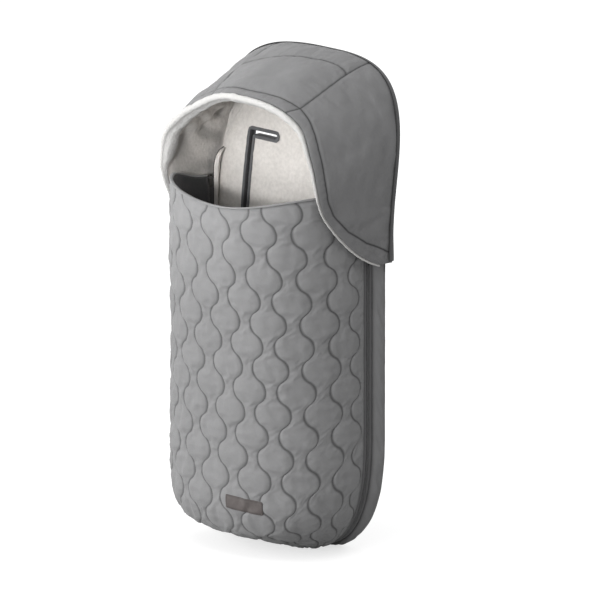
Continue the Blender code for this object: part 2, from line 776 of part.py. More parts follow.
def make_cap_band(sides, materials):
    """The band that slips over the back's upper end, with an elastic along its inner edge."""
    kept = [s for s in sides if hood_point(s, 1.0)[2] >= CAP_BAND_LOW]
    front = HOOD_REAR_STAND_OFF + GAP
    near, far = [], []
    for side in kept:
        row = [cap_point(side, CAP_BAND_WIDTH * k / 3) for k in range(4)]
        near.append([(p + np.array([0, front, 0])).tolist() for p in row])
        far.append([(p + np.array([0, front + CAP_BAND_THICKNESS, 0])).tolist() for p in row])
    add_object("hood_cap_band", *grid_solid(near, far), materials["dark"])
    path = [cap_point(s, CAP_BAND_WIDTH + ELASTIC_RADIUS + 3 * GAP)
            + np.array([0, front + CAP_BAND_THICKNESS / 2, 0]) for s in kept]
    radii = [ELASTIC_RADIUS] * len(path)
    add_object("hood_cap_elastic", *tube(path, radii, 6), materials["dark"])


# Small hardware

def turned(profile, centre, steps=16):
    """A piece turned about an axis along X; the profile lists (distance along X, radius)."""
    rings = []
    for k in range(steps):
        a = 2 * pi * k / steps
        rings.append([(centre[0] + x, centre[1] + r * cos(a), centre[2] + r * sin(a))
                      for x, r in profile])
    return loft_rings(rings, closed_path=True)


def make_snaps(materials):
    """A snap at each lower end of the hood: a stud on the gusset and a socket on the flap."""
    for name, hand in (("left", -1), ("right", 1)):
        start = tub_half_width(SNAP_Y + SNAP_RADIUS, SNAP_Z) + GAP
        end = flap_inner_x(SNAP_Y - SNAP_RADIUS, SNAP_Z) - GAP
        post_end = end - SNAP_FLANGE
        hole = SNAP_POST_RADIUS + GAP
        stud = [(start, SNAP_CENTRE), (start, SNAP_RADIUS), (start + SNAP_FLANGE, SNAP_RADIUS),
                (start + SNAP_FLANGE, SNAP_POST_RADIUS), (post_end, SNAP_POST_RADIUS),
                (post_end, SNAP_CENTRE)]
        ring_start = start + SNAP_FLANGE + GAP
        socket = [(ring_start, hole), (ring_start, SNAP_RADIUS), (end, SNAP_RADIUS), (end, hole)]
        for part, profile in (("stud", stud), ("socket", socket)):
            centre = (0.0, SNAP_Y, SNAP_Z)
            sided = [(hand * x, r) for x, r in profile]
            points, faces = turned(sided, centre)
            add_object(f"hood_snap_{part}_{name}", points, faces, materials["metal"],
                       origin=(hand * start, SNAP_Y, SNAP_Z))


def flap_inner_x(y, z):
    """Inner face of the hood's flap at a given place."""
    down = (HOOD_SPRING_HEIGHT - z) / (HOOD_SPRING_HEIGHT - HOOD_FLAP_LOW)
    return hood_half_width(y, z) + HOOD_FLAP_FLARE * down - hood_thickness(z)


def make_zip(materials):
    """Two tapes and two coils round the tub's edge, with a stop above each coil's end."""
    coil_end = COIL_PARTING + COIL_WIDTH
    tape_end = coil_end + GAP + TAPE_WIDTH
    tape_out = -(COIL_THICKNESS - TAPE_THICKNESS) / 2
    for name, hand in (("body", 1), ("cover", -1)):
        coil = strip_profile(hand * COIL_PARTING, hand * coil_end, 0.0, -COIL_THICKNESS)
        add_object(f"zip_coil_{name}", *rim_solid(coil, ZIP_TOP), materials["zip"], smooth=False)
        tape = strip_profile(hand * (coil_end + GAP), hand * tape_end, tape_out,
                             tape_out - TAPE_THICKNESS)
        add_object(f"zip_tape_{name}", *rim_solid(tape, ZIP_TOP), materials["zip"], smooth=False)
        for side, place in ((-1, "left"), (1, "right")):
            add_object(f"zip_stop_{name}_{place}", *stop_block(side, hand), materials["metal"],
                       smooth=False)


def stop_block(side, hand):
    low = ZIP_TOP + GAP
    rings = []
    for z in (low, low + STOP_HEIGHT):
        y0, y1 = hand * COIL_PARTING, hand * (COIL_PARTING + STOP_WIDTH)
        x0, x1 = side * (ZIP_HALF_WIDTH - COIL_THICKNESS), side * ZIP_HALF_WIDTH
        rings.append([(x0, y0, z), (x1, y0, z), (x1, y1, z), (x0, y1, z)])
    return loft_rings(rings)


def make_slider(side, name, materials):
    """Slider with two plates round the coils, joined by a thin web that parts them."""
    outer = ZIP_HALF_WIDTH + GAP
    inner = ZIP_HALF_WIDTH - COIL_THICKNESS - GAP
    wide, web, plate = SLIDER_HALF_WIDTH, SLIDER_WEB / 2, SLIDER_PLATE
    section = [(outer + plate, -wide), (outer + plate, wide), (outer, wide), (outer, web),
               (inner, web), (inner, wide), (inner - plate, wide), (inner - plate, -wide),
               (inner, -wide), (inner, -web), (outer, -web), (outer, -wide)]
    rings = [[(side * x, y, z) for x, y in section]
             for z in (SLIDER_REST - SLIDER_LENGTH / 2, SLIDER_REST + SLIDER_LENGTH / 2)]
    origin = (side * ZIP_HALF_WIDTH, 0.0, SLIDER_REST)
    points, faces = loft_rings(rings)
    slider = add_object(f"zip_slider_{name}", points, faces, materials["metal"], smooth=False,
                        origin=origin)
    for label, piece in pull_carrier(side, name, origin, materials):
        join = slider.modifiers.new(label, "BOOLEAN")
        join.operation = "UNION"
        join.object = piece
    make_pull(side, name, materials)
    return slider


def pull_pin_x():
    return ZIP_HALF_WIDTH + GAP + SLIDER_PLATE + PULL_PIN_STAND_OFF


def pull_carrier(side, name, origin, materials):
    """Two ears and a pin that stand on the slider's outer plate."""
    pin_x = pull_pin_x()
    base = pin_x - PULL_PIN_STAND_OFF - SLIDER_PLATE / 2
    tip = pin_x + PULL_PIN_RADIUS + PULL_EAR_THICKNESS / 2
    half = SLIDER_HALF_WIDTH
    pieces = []
    for label, hand in (("ear_front", -1), ("ear_rear", 1)):
        rings = [[(side * x, hand * y, z) for x, y in
                  [(base, half), (tip, half), (tip, half - PULL_EAR_THICKNESS),
                   (base, half - PULL_EAR_THICKNESS)]]
                 for z in (SLIDER_REST - PULL_EAR_HALF_HEIGHT, SLIDER_REST + PULL_EAR_HALF_HEIGHT)]
        pieces.append((label, add_object(f"{name}_{label}", *loft_rings(rings),
                                         materials["metal"], smooth=False, origin=origin)))
    ends = (-half + PULL_EAR_THICKNESS / 2, half - PULL_EAR_THICKNESS / 2)
    rings = [[(side * pin_x + PULL_PIN_RADIUS * cos(a), y, SLIDER_REST + PULL_PIN_RADIUS * sin(a))
              for a in [2 * pi * k / 10 for k in range(10)]] for y in ends]
    pieces.append(("pin", add_object(f"{name}_pin", *loft_rings(rings), materials["metal"],
                                     origin=origin)))
    for _, piece in pieces:
        piece.hide_render = True
        piece.display_type = "WIRE"
    return pieces


def make_pull(side, name, materials):
    """Flat pull with an eye round the slider's pin; its origin lies on the pin's axis."""
    pin_x = pull_pin_x()
    hole = PULL_PIN_RADIUS + GAP
    eye, half = PULL_EYE_RADIUS, PULL_WIDTH / 2
    turns = [2 * pi * k / 12 for k in range(12)]
    outer = [(eye * cos(a), eye * sin(a)) for a in turns]
    inner = [(hole * cos(a), hole * sin(a)) for a in turns]
    rings = []
    for ring, y in ((outer, -half), (outer, half), (inner, half), (inner, -half)):
        rings.append([(side * pin_x + x, y, SLIDER_REST + z) for x, z in ring])
    origin = (side * pin_x, 0.0, SLIDER_REST)
    points, faces = loft_rings(rings, closed_path=True)
    pull = add_object(f"zip_pull_{name}", points, faces, materials["metal"], origin=origin)
    tongue_start = SLIDER_REST - (hole + eye) / 2
    tongue_end = SLIDER_REST - PULL_LENGTH
    thick = PULL_THICKNESS / 2
    rings = [[(side * pin_x - thick, -w, z), (side * pin_x + thick, -w, z),
              (side * pin_x + thick, w, z), (side * pin_x - thick, w, z)]
             for z, w in ((tongue_start, half * 0.7), (tongue_start - PULL_TAPER, half * 0.7),
                          (tongue_end + PULL_TAPER, half), (tongue_end, half * 0.8))]
    tongue = add_object(f"{name}_tongue", *loft_rings(rings), materials["metal"], smooth=False,
                        origin=origin)
    tongue.hide_render = True
    tongue.display_type = "WIRE"
    join = pull.modifiers.new("tongue", "BOOLEAN")
    join.operation = "UNION"
    join.object = tongue


def make_tub(materials):
    """The back's three layers, the gusset round it, and the bindings of its slots."""
    wadding_front = SHELL_THICKNESS + GAP + BACK_WADDING
    lining_rear = wadding_front + GAP
    lining_front = lining_rear + FLEECE_THICKNESS
    inset = SHELL_THICKNESS + GAP
    gusset_top = side_heights()[LEAN_ROWS + 1]
    back_layer("back_shell", SHELL_THICKNESS, 0.0, 0.0, materials["grey"])
    back_layer("back_padding", wadding_front, SHELL_THICKNESS + GAP, inset, materials["wadding"])
    back_layer("back_lining", lining_front, lining_rear, inset, materials["fleece"])
    rear = -SHELL_THICKNESS - GAP
    shell = [(ZIP_BAND_HALF, False, 0.0), (rear, True, 0.0), (rear, True, -SHELL_THICKNESS),
             (ZIP_BAND_HALF, False, -SHELL_THICKNESS)]
    add_object("gusset_shell", *rim_solid(shell, gusset_top), materials["grey"], smooth=False)
    rear = -lining_front - GAP
    outer, inner = -inset, -inset - FLEECE_THICKNESS
    lining = [(ZIP_BAND_HALF, False, outer), (rear, True, outer), (rear, True, inner),
              (ZIP_BAND_HALF, False, inner)]
    add_object("gusset_lining", *rim_solid(lining, gusset_top), materials["fleece"], smooth=False)
    slot_binding("slot_binding_left", lambda grow: hook_loop(-1, grow), materials["dark"])
    slot_binding("slot_binding_right", lambda grow: hook_loop(1, grow), materials["dark"])
    slot_binding("crotch_slot_binding", crotch_loop, materials["dark"])


def stand_on_origin():
    """Move the whole part so that the middle of its box is over the origin."""
    bpy.context.view_layer.update()
    graph = bpy.context.evaluated_depsgraph_get()
    pieces = [o for o in bpy.data.objects if o.type == "MESH" and not o.hide_render]
    ys = []
    for piece in pieces:
        shown = piece.evaluated_get(graph)
        mesh = shown.to_mesh()
        ys += [(piece.matrix_world @ v.co).y for v in mesh.vertices]
        shown.to_mesh_clear()
    middle = (min(ys) + max(ys)) / 2
    for thing in bpy.data.objects:
        thing.location.y -= middle
    return middle


def main():
    clear_scene()
    materials = {
        "grey": make_material("grey_fabric", GREY_FABRIC, 0.85),
        "dark": make_material("dark_fabric", DARK_FABRIC, 0.80),
        "fleece": make_material("cream_fleece", CREAM_FLEECE, 0.95),
        "wadding": make_material("white_wadding", WHITE_WADDING, 0.95),
        "zip": make_material("zip_grey", ZIP_GREY, 0.65),
        "metal": make_material("zip_metal", ZIP_METAL, 0.35, 0.9),
        "label": make_material("label_brown", LABEL_BROWN, 0.60),
    }
    make_tub(materials)
    make_zip(materials)
    make_cover(materials)
    make_hood(materials)
    make_snaps(materials)
    for side, name in ((-1, "left"), (1, "right")):
        make_slider(side, name, materials)
    return stand_on_origin()


main()
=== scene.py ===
"""Looks of a quilted footmuff with a hood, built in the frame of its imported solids."""
from math import cos, pi, radians, sin

import bmesh
import bpy
import numpy as np
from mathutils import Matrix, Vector
from mathutils.bvhtree import BVHTree
from mathutils.kdtree import KDTree

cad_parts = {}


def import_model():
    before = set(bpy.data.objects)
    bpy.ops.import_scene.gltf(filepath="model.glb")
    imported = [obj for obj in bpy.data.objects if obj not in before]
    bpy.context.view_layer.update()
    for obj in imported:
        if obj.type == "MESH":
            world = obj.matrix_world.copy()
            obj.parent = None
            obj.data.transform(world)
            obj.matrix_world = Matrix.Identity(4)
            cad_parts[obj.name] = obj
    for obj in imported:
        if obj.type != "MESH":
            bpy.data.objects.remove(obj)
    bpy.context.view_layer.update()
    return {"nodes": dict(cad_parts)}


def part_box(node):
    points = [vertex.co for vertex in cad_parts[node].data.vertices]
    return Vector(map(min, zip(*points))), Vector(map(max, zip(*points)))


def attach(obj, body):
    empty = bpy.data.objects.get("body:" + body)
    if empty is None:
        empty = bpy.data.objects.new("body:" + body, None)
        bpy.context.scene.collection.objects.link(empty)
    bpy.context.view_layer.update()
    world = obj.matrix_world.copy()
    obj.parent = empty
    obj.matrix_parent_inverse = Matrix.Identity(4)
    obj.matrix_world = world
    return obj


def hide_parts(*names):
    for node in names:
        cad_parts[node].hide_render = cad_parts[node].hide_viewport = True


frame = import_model()

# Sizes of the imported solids, in metres; Y = 0 is the plane of the zip
GAP = 0.0003
ZIP_HALF_WIDTH = 0.183
BACK_HALF_WIDTH = 0.1915
FOOT_HALF_WIDTH = 0.045
CORNER_RISE = 0.210
CORNER_POWER = 2.6
GUSSET_DEPTH = 0.029
GUSSET_TOP = 0.6196
GUSSET_TURN = 0.584
LEAN_START = 0.436
LEAN_DEPTH = 0.0435
ARCH_START = 0.586
BACK_TOP = 0.758
BACK_EDGE_TOP = 0.7547
ARCH_POWER = 2.1
BACK_THICKNESS = 0.0131
SLOT_WIDTH = 0.007
SLOT_X = 0.120
SLOT_TOP = 0.6535
SLOT_BOTTOM = 0.346
SLOT_BRANCH_END = 0.062
CROTCH_SLOT_LENGTH = 0.060
CROTCH_SLOT_HEIGHT = 0.225
BINDING_LIP = 0.0045
BINDING_THICKNESS = 0.0012
BINDING_WALL = 0.0020
ZIP_TOP = 0.5735
ZIP_BAND_HALF = 0.0088
COIL_PARTING = 0.0006
COIL_WIDTH = 0.0025
COIL_THICKNESS = 0.0024
COVER_DEPTH = 0.162
COVER_SECTION_POWER = 2.6
COVER_FOOT_DEPTH = 0.036
COVER_TOE_RISE = 0.090
COVER_TOE_POWER = 1.5
COVER_TOE_ROWS = 7
NECK_SIDE_HEIGHT = 0.579
NECK_RISES = ((-1.0, 0.0), (-0.62, 0.021), (0.0, 0.006), (0.74, 0.034), (1.0, 0.008))
NECK_FOLD = 0.0022
LABEL_THICKNESS = 0.0010
HOOD_SPRING_HEIGHT = 0.586
HOOD_BRIM_Y = -0.106
HOOD_BRIM_TOP = 0.760
HOOD_REAR_TOP = 0.806
HOOD_BRIM_HALF_WIDTH = 0.186
HOOD_REAR_HALF_WIDTH = 0.201
HOOD_BRIM_POWER = 2.7
HOOD_REAR_POWER = 3.2
HOOD_FLAP_FLARE = 0.003
HOOD_FLAP_LOW = 0.490
HOOD_FLAP_CORNER_Y = 0.030
HOOD_FLAP_CORNER_Z = 0.486
HOOD_FLAP_TURN_Z = 0.616
HOOD_FLAP_POWER = 1.6
HOOD_THICKNESS = 0.011
HOOD_FLAP_THICKNESS = 0.0040
HOOD_THIN_BELOW = 0.615
HOOD_THICK_ABOVE = 0.700
HOOD_REAR_STAND_OFF = 0.004
PANEL_SEAM = 0.19
PANEL_SEAM_FRONT = 0.235
PANEL_SEAM_REAR = 0.158
CROWN_EASE = 0.67
ARCH_SHARE = 0.72
RIM_RADIUS = 0.0055
RIM_FLAP_RADIUS = 0.0024
CAP_BAND_WIDTH = 0.062
CAP_BAND_THICKNESS = 0.002
CAP_BAND_LOW = 0.522
ELASTIC_RADIUS = 0.002

# Sizes of the looks alone, fitted to the photo
LIP_SPREAD = 1.3
COIL_MEET = 0.0004
TOE_SLOPE = 0.34
TOE_ROUND = 0.024
QUILT_PITCH = 0.0427
QUILT_FIRST = -0.2574
QUILT_LINES = 13
QUILT_SWING = 0.0115
QUILT_PERIOD = 0.0750
QUILT_BULB_Z = 0.4380
QUILT_LEAN_Z = 0.43
QUILT_LEAN_LOW = 0.42
QUILT_LEAN = ((-0.28, 0.28), (-0.13, 0.26), (-0.03, 0.19), (0.07, 0.15), (0.18, 0.105),
              (0.28, 0.04))
LABEL_WIDTH = 0.069
LABEL_HEIGHT = 0.0225
LABEL_X = 0.0630
LABEL_Z = 0.0955
LABEL_TILT = 0.075
BAND_SEAM = ((0.0, 0.090), (0.03, 0.100), (0.09, 0.116), (0.14, 0.122), (0.195, 0.130),
             (0.338, 0.100), (0.468, 0.095), (0.593, 0.096), (0.693, 0.107), (0.738, 0.133),
             (0.815, 0.205), (0.885, 0.41), (0.943, 0.83), (0.955, 1.0), (1.0, 1.0))
CROWN_SEAM = ((-0.19, 0.640), (-0.132, 0.660), (-0.042, 0.690), (0.0, 0.722), (0.04, 0.736),
              (0.11, 0.737), (0.155, 0.726), (0.178, 0.712), (0.19, 0.690))
LEFT_SEAM = ((0.12, 0.122), (0.3, 0.168), (0.5, 0.210), (0.75, 0.215), (1.0, 0.19))
HOOD_SAG = 0.017
HOOD_REACH = 0.012
CAP_PROFILE = ((-0.0024, -0.0066), (-0.0028, -0.0040), (-0.0026, 0.0000), (-0.0018, 0.0024),
               (0.0000, 0.0044), (0.0034, 0.0062), (0.0090, 0.0076), (0.0180, 0.0080),
               (0.0300, 0.0076), (0.0450, 0.0069), (0.0620, 0.0061))
HOOD_LEFT_BOX = 0.24
HOOD_TOP_SAG = 0.0060

# From the zip's plane to the frame of the solids
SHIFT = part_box("zip_coil_body")[0].y - COIL_PARTING


# Numbers

def blend(a, b, share):
    return a + (b - a) * share


def clamp(value):
    return np.clip(value, 0.0, 1.0)


def ease(low, high, value):
    share = clamp((np.asarray(value, float) - low) / (high - low))
    return share * share * (3 - 2 * share)


def quarter(power, share):
    angle = pi / 2 * np.asarray(share, float)
    return np.sin(angle) ** (2 / power), np.maximum(0.0, np.cos(angle)) ** (2 / power)


def fade(distance, reach):
    """1 at no distance, dying away over about the reach."""
    return np.exp(-distance / reach)


def lay(down, across):
    """Grid of pairs from the values of its rows and those of its columns."""
    return np.stack(np.broadcast_arrays(np.asarray(down)[:, None], across), axis=-1)


def raise_to(grid, low):
    """Lift the points of a grid that lie lower than a height."""
    grid[..., 2] = np.maximum(grid[..., 2], low)


def ripple(points, size, seed, count=9):
    """Smooth random heights of about -1 to 1, with waves of about the given length."""
    random = np.random.default_rng(seed)
    points = np.asarray(points, float)
    total = np.zeros(points.shape[:-1])
    for _ in range(count):
        way = random.normal(size=points.shape[-1])
        way *= 2 * pi / (size * random.uniform(0.7, 1.5) * np.linalg.norm(way))
        total += np.sin(points @ way + random.uniform(0, 2 * pi))
    return total / np.sqrt(count) * 0.8


def along(path):
    """Length along a path up to each of its points."""
    steps = np.linalg.norm(np.diff(path, axis=0), axis=1)
    return np.concatenate([[0.0], np.cumsum(steps)])


def at(stops, travel, path):
    """Points of a path at the stops, its own points being at the travel."""
    return np.stack([np.interp(stops, travel, path[:, k]) for k in range(path.shape[1])], axis=1)


def evenly(path, step):
    """The path with its points spread evenly, about a step apart."""
    path = np.asarray(path, float)
    travel = along(path)
    stops = np.linspace(0.0, travel[-1], max(2, round(travel[-1] / step) + 1))
    return at(stops, travel, path)


def unit(vectors):
    return vectors / np.maximum(np.linalg.norm(vectors, axis=-1, keepdims=True), 1e-12)


def grid_normals(points, inside):
    """Unit normals of a grid of points, turned away from the inside point."""
    normal = unit(np.cross(np.gradient(points, axis=0), np.gradient(points, axis=1)))
    away = (normal * (points - np.asarray(inside))).sum()
    return normal if away > 0 else -normal


# Meshes

def show(name, data):
    """New object in the scene."""
    thing = bpy.data.objects.new(name, data)
    bpy.context.scene.collection.objects.link(thing)
    return thing


def add_mesh(name, points, faces, material, uv=None, marks=None, merge=0.0):
    """One smooth mesh, moved from the zip's frame to the frame of the solids."""
    mesh = bpy.data.meshes.new(name)
    moved = np.asarray(points, float).reshape(-1, 3) + (0.0, SHIFT, 0.0)
    mesh.from_pydata(moved.tolist(), [], faces)
    if uv is not None:
        layer = mesh.uv_layers.new(name="metres")
        corners = np.zeros(len(mesh.loops), int)
        mesh.loops.foreach_get("vertex_index", corners)
        layer.data.foreach_set("uv", np.asarray(uv, float).reshape(-1, 2)[corners].ravel())
    # The marks are how much painted shade each point takes, kept in the mesh's seam attribute.
    if marks is not None:
        layer = mesh.attributes.new("seam", "FLOAT", "POINT")
        layer.data.foreach_set("value", np.asarray(marks, float).ravel())
    work = bmesh.new()
    work.from_mesh(mesh)
    if merge:
        bmesh.ops.remove_doubles(work, verts=work.verts, dist=merge)
    bmesh.ops.recalc_face_normals(work, faces=work.faces)
    work.to_mesh(mesh)
    work.free()
    mesh.validate()
    mesh.materials.append(material)
    mesh.shade_smooth()
    return show(name, mesh)


def grid_faces(rows, columns, start=0, around=False):
    i, j = np.meshgrid(np.arange(rows - 1), np.arange(columns if around else columns - 1),
                       indexing="ij")
    k = (j + 1) % columns
    quads = np.stack([i * columns + j, i * columns + k, (i + 1) * columns + k,
                      (i + 1) * columns + j], axis=-1)
    return (quads.reshape(-1, 4) + start).tolist()


def slab(name, near, far, material, uv, marks, merge=0.0):
    """Closed body between two grids of points of the same size."""
    rows, columns = near.shape[:2]
    layer = rows * columns
    index = np.arange(layer).reshape(rows, columns)
    border = np.concatenate([index[0, :-1], index[:-1, -1], index[-1, :0:-1], index[:0:-1, 0]])
    after = np.roll(border, -1)
    rim = np.stack([border, after, after + layer, border + layer], axis=1).tolist()
    faces = grid_faces(rows, columns) + grid_faces(rows, columns, layer) + rim
    points = np.concatenate([near.reshape(-1, 3), far.reshape(-1, 3)])
    return add_mesh(name, points, faces, material, np.stack([uv, uv]), np.stack([marks, marks]),
                    merge)


def sweep(name, rings, material, closed=False, uv=None, marks=None):
    """Tube through rings of points; its ends are capped unless it closes on itself."""
    rings = np.asarray(rings, float)
    count, sides = rings.shape[:2]
    faces = grid_faces(count, sides, around=True)
    if closed:
        last = (count - 1) * sides
        for j in range(sides):
            k = (j + 1) % sides
            faces.append((last + j, last + k, k, j))
    else:
        faces.append(tuple(range(sides)))
        faces.append(tuple(range((count - 1) * sides, count * sides)))
    return add_mesh(name, rings, faces, material, uv, marks)


def round_tube(name, path, radius, material, sides):
    """Round tube along a path; the radius may change along it."""
    ahead = unit(np.gradient(path, axis=0))
    first = np.zeros_like(path)
    guide = np.array([0.31, 0.22, 0.92])
    for i, way in enumerate(ahead):
        first[i] = guide - way * np.dot(guide, way)
        first[i] /= max(np.linalg.norm(first[i]), 1e-9)
        guide = first[i]
    second = np.cross(ahead, first)
    turns = np.arange(sides) * 2 * pi / sides
    ring = (first[:, None] * np.cos(turns)[:, None] + second[:, None] * np.sin(turns)[:, None])
    size = np.broadcast_to(np.asarray(radius, float), len(path))
    rings = path[:, None] + ring * size[:, None, None]
    return sweep(name, rings, material, uv=lay(along(path), turns * np.mean(size)))


def stitches(name, paths, normals, length, gap, radius, material):
    """Rows of thread: one small pointed lozenge for each stitch, lying on its fabric."""
    points, faces = [], []
    for path, normal in zip(paths, normals):
        travel = along(path)
        count = int(travel[-1] // (length + gap))
        for k in range(count):
            stops = np.array([k * (length + gap) + gap / 2 + length * t for t in (0, .25, .75, 1)])
            middle = at(stops, travel, path)
            up = at(stops[1:2], travel, normal)[0]
            way = middle[-1] - middle[0]
            way /= max(np.linalg.norm(way), 1e-9)
            up = up - way * np.dot(up, way)
            up /= max(np.linalg.norm(up), 1e-9)
            across = np.cross(way, up)
            start = len(points)
            for spot, size in zip(middle, (0.35, 1.0, 1.0, 0.35)):
                lift = up * radius * (size - 0.75)
                for a in (0.25, 0.75, 1.25, 1.75):
                    turn = across * cos(a * pi) + up * sin(a * pi)
                    points.append(spot + lift + turn * radius * size)
            for ring in range(3):
                a = start + ring * 4
                faces += [(a + j, a + (j + 1) % 4, a + 4 + (j + 1) % 4, a + 4 + j)
                          for j in range(4)]
            faces.append(tuple(range(start, start + 4)))
            faces.append(tuple(range(start + 12, start + 16)))
    return add_mesh(name, points, faces, material)


def nearest(points, spots):
    """Distance from each grid point to the nearest of the spots."""
    tree = KDTree(len(spots))
    for k, spot in enumerate(spots):
        tree.insert(spot, k)
    tree.balance()
    flat = points.reshape(-1, 3)
    return np.array([tree.find(point)[2] for point in flat]).reshape(points.shape[:-1])


# Materials

def feed(tree, node, *sources, **named):
    """Set a node's inputs, in order or by name; a source that is an output is linked."""
    for key, source in [*enumerate(sources), *named.items()]:
        target = node.inputs[key if isinstance(key, int) else key.replace("_", " ")]
        if isinstance(source, bpy.types.NodeSocket):
            tree.links.new(source, target)
        else:
            target.default_value = source
    return node


def math_node(tree, operation, *sources):
    node = tree.nodes.new("ShaderNodeMath")
    node.operation = operation
    return feed(tree, node, *sources).outputs[0]


class Finish:
    """A procedural material built node by node."""

    def __init__(self, name, roughness, specular, metallic=0.0, sheen=0.0, sheen_roughness=0.5):
        self.material = bpy.data.materials.new(name)
        self.material.use_nodes = True
        self.tree = self.material.node_tree
        self.set(Roughness=roughness, Metallic=metallic, Sheen_Weight=sheen,
                 Sheen_Roughness=sheen_roughness, Specular_IOR_Level=specular)

    def set(self, **named):
        feed(self.tree, self.tree.nodes["Principled BSDF"], **named)

    def add(self, kind, *sources, **named):
        return feed(self.tree, self.tree.nodes.new(f"ShaderNode{kind}"), *sources, **named)

    def math(self, operation, *sources):
        return math_node(self.tree, operation, *sources)

    def where(self, space="Object"):
        return self.add("TexCoord").outputs[space]

    def noise(self, scale, detail):
        return self.add("TexNoise", Vector=self.where(), Scale=scale, Detail=detail).outputs["Fac"]

    def cells(self, scale):
        """Distance from the nearest of many scattered points."""
        return self.add("TexVoronoi", Vector=self.where(), Scale=scale).outputs["Distance"]

    def spread(self, source, low, high, start=0.3, end=0.7):
        """The values from start to end, carried over to low to high."""
        return self.add("MapRange", Value=source, From_Min=start, From_Max=end, To_Min=low,
                        To_Max=high).outputs["Result"]

    def weave(self, pitch):
        """Height of a plain weave whose threads lie a pitch apart, from the UV map in metres."""
        split = self.add("SeparateXYZ", Vector=self.where("UV"))
        waves = [self.math("SINE", self.math("MULTIPLY", split.outputs[k], pi / pitch))
                 for k in (0, 1)]
        return self.math("MULTIPLY", *waves)

    def painted_crease_shade(self, shade):
        """Painted shade: 1 on the open cloth, down by the shade where the mesh marks a sewn crease,
        an edge or a fold's valley.
        """
        seam = self.add("Attribute")
        seam.attribute_name = "seam"
        return self.math("SUBTRACT", 1.0, self.math("MULTIPLY", seam.outputs["Fac"], shade))

    def tint(self, colour, *factors):
        """Base colour times the factors."""
        factor = factors[0]
        for more in factors[1:]:
            factor = self.math("MULTIPLY", factor, more)
        scale = self.add("VectorMath")
        scale.operation = "SCALE"
        feed(self.tree, scale, colour, Scale=factor)
        self.set(Base_Color=scale.outputs["Vector"])

    def relief(self, *layers):
        """Bump from (height, distance) pairs, one on top of the other."""
        below = {}
        for height, distance in layers:
            bump = self.add("Bump", Distance=distance, Height=height, **below)
            below = {"Normal": bump.outputs["Normal"]}
        self.set(**below)


def shell_fabric(name, colour, painted_shade_depth, pitch=0.0006):
    """Matt woven polyester: fine weave, soft mottling, and painted shade in its sewn creases."""
    finish = Finish(name, 0.82, 0.30, sheen=0.12, sheen_roughness=0.45)
    mottle = finish.spread(finish.noise(26.0, 3.0), 0.955, 1.045)
    melange = finish.spread(finish.noise(1500.0, 1.0), 0.94, 1.06)
    weave = finish.weave(pitch)
    thread = finish.spread(weave, 0.95, 1.04, -1.0, 1.0)
    finish.tint(colour, mottle, melange, thread, finish.painted_crease_shade(painted_shade_depth))
    finish.relief((finish.noise(90.0, 3.0), 0.0007), (finish.noise(420.0, 2.0), 0.00022),
                  (weave, 0.00007))
    finish.set(Roughness=finish.spread(finish.noise(60.0, 2.0), 0.76, 0.90))
    return finish.material


def pile_fabric(name, colour, shade=0.10, clump=170.0):
    """Soft fleece: clumped pile with a pale sheen and fine fibre, and painted shade in its folds.
    """
    finish = Finish(name, 0.95, 0.12, sheen=0.22, sheen_roughness=0.6)
    clumps = finish.noise(clump, 4.0)
    patches = finish.spread(finish.noise(30.0, 3.0), 1.0 - shade * 0.5, 1.0 + shade * 0.3)
    tufts = finish.spread(clumps, 1.0 - shade, 1.0 + shade * 0.5)
    fibre = finish.noise(1400.0, 2.0)
    finish.tint(colour, patches, tufts, finish.spread(fibre, 0.95, 1.04), finish.painted_crease_shade(0.42))
    finish.relief((finish.noise(60.0, 3.0), 0.0014), (clumps, 0.0012), (fibre, 0.00025))
    return finish.material


def metal_finish(name, colour):
    """Dark coated zinc with fine casting grain and worn edges."""
    finish = Finish(name, 0.38, 0.5, metallic=0.85)
    grain = finish.noise(900.0, 3.0)
    wear = finish.spread(finish.noise(240.0, 4.0), 0.85, 1.35, 0.35, 0.75)
    finish.tint(colour, wear, finish.spread(grain, 0.92, 1.08))
    finish.relief((grain, 0.00003))
    finish.set(Roughness=finish.spread(finish.noise(500.0, 2.0), 0.30, 0.48))
    return finish.material


def label_finish(name, colour):
    """Blank brown patch: fine grain of pressed microfibre, with painted shade where its mesh is
    marked.
    """
    finish = Finish(name, 0.62, 0.35, sheen=0.08)
    cells = finish.cells(1600.0)
    finish.tint(colour, finish.spread(finish.noise(120.0, 4.0), 0.88, 1.12),
                finish.spread(cells, 0.92, 1.08, 0.0, 0.7), finish.painted_crease_shade(0.35))
    finish.relief((cells, 0.00008), (finish.noise(200.0, 3.0), 0.0002))
    return finish.material


def thread_finish(name, colour):
    """Twisted sewing thread."""
    finish = Finish(name, 0.70, 0.3, sheen=0.05)
    twist = finish.noise(2600.0, 1.0)
    finish.tint(colour, finish.spread(twist, 0.80, 1.15))
    finish.relief((twist, 0.00006))
    return finish.material


GREY = shell_fabric("grey_shell", (0.214, 0.214, 0.216), painted_shade_depth=0.68)
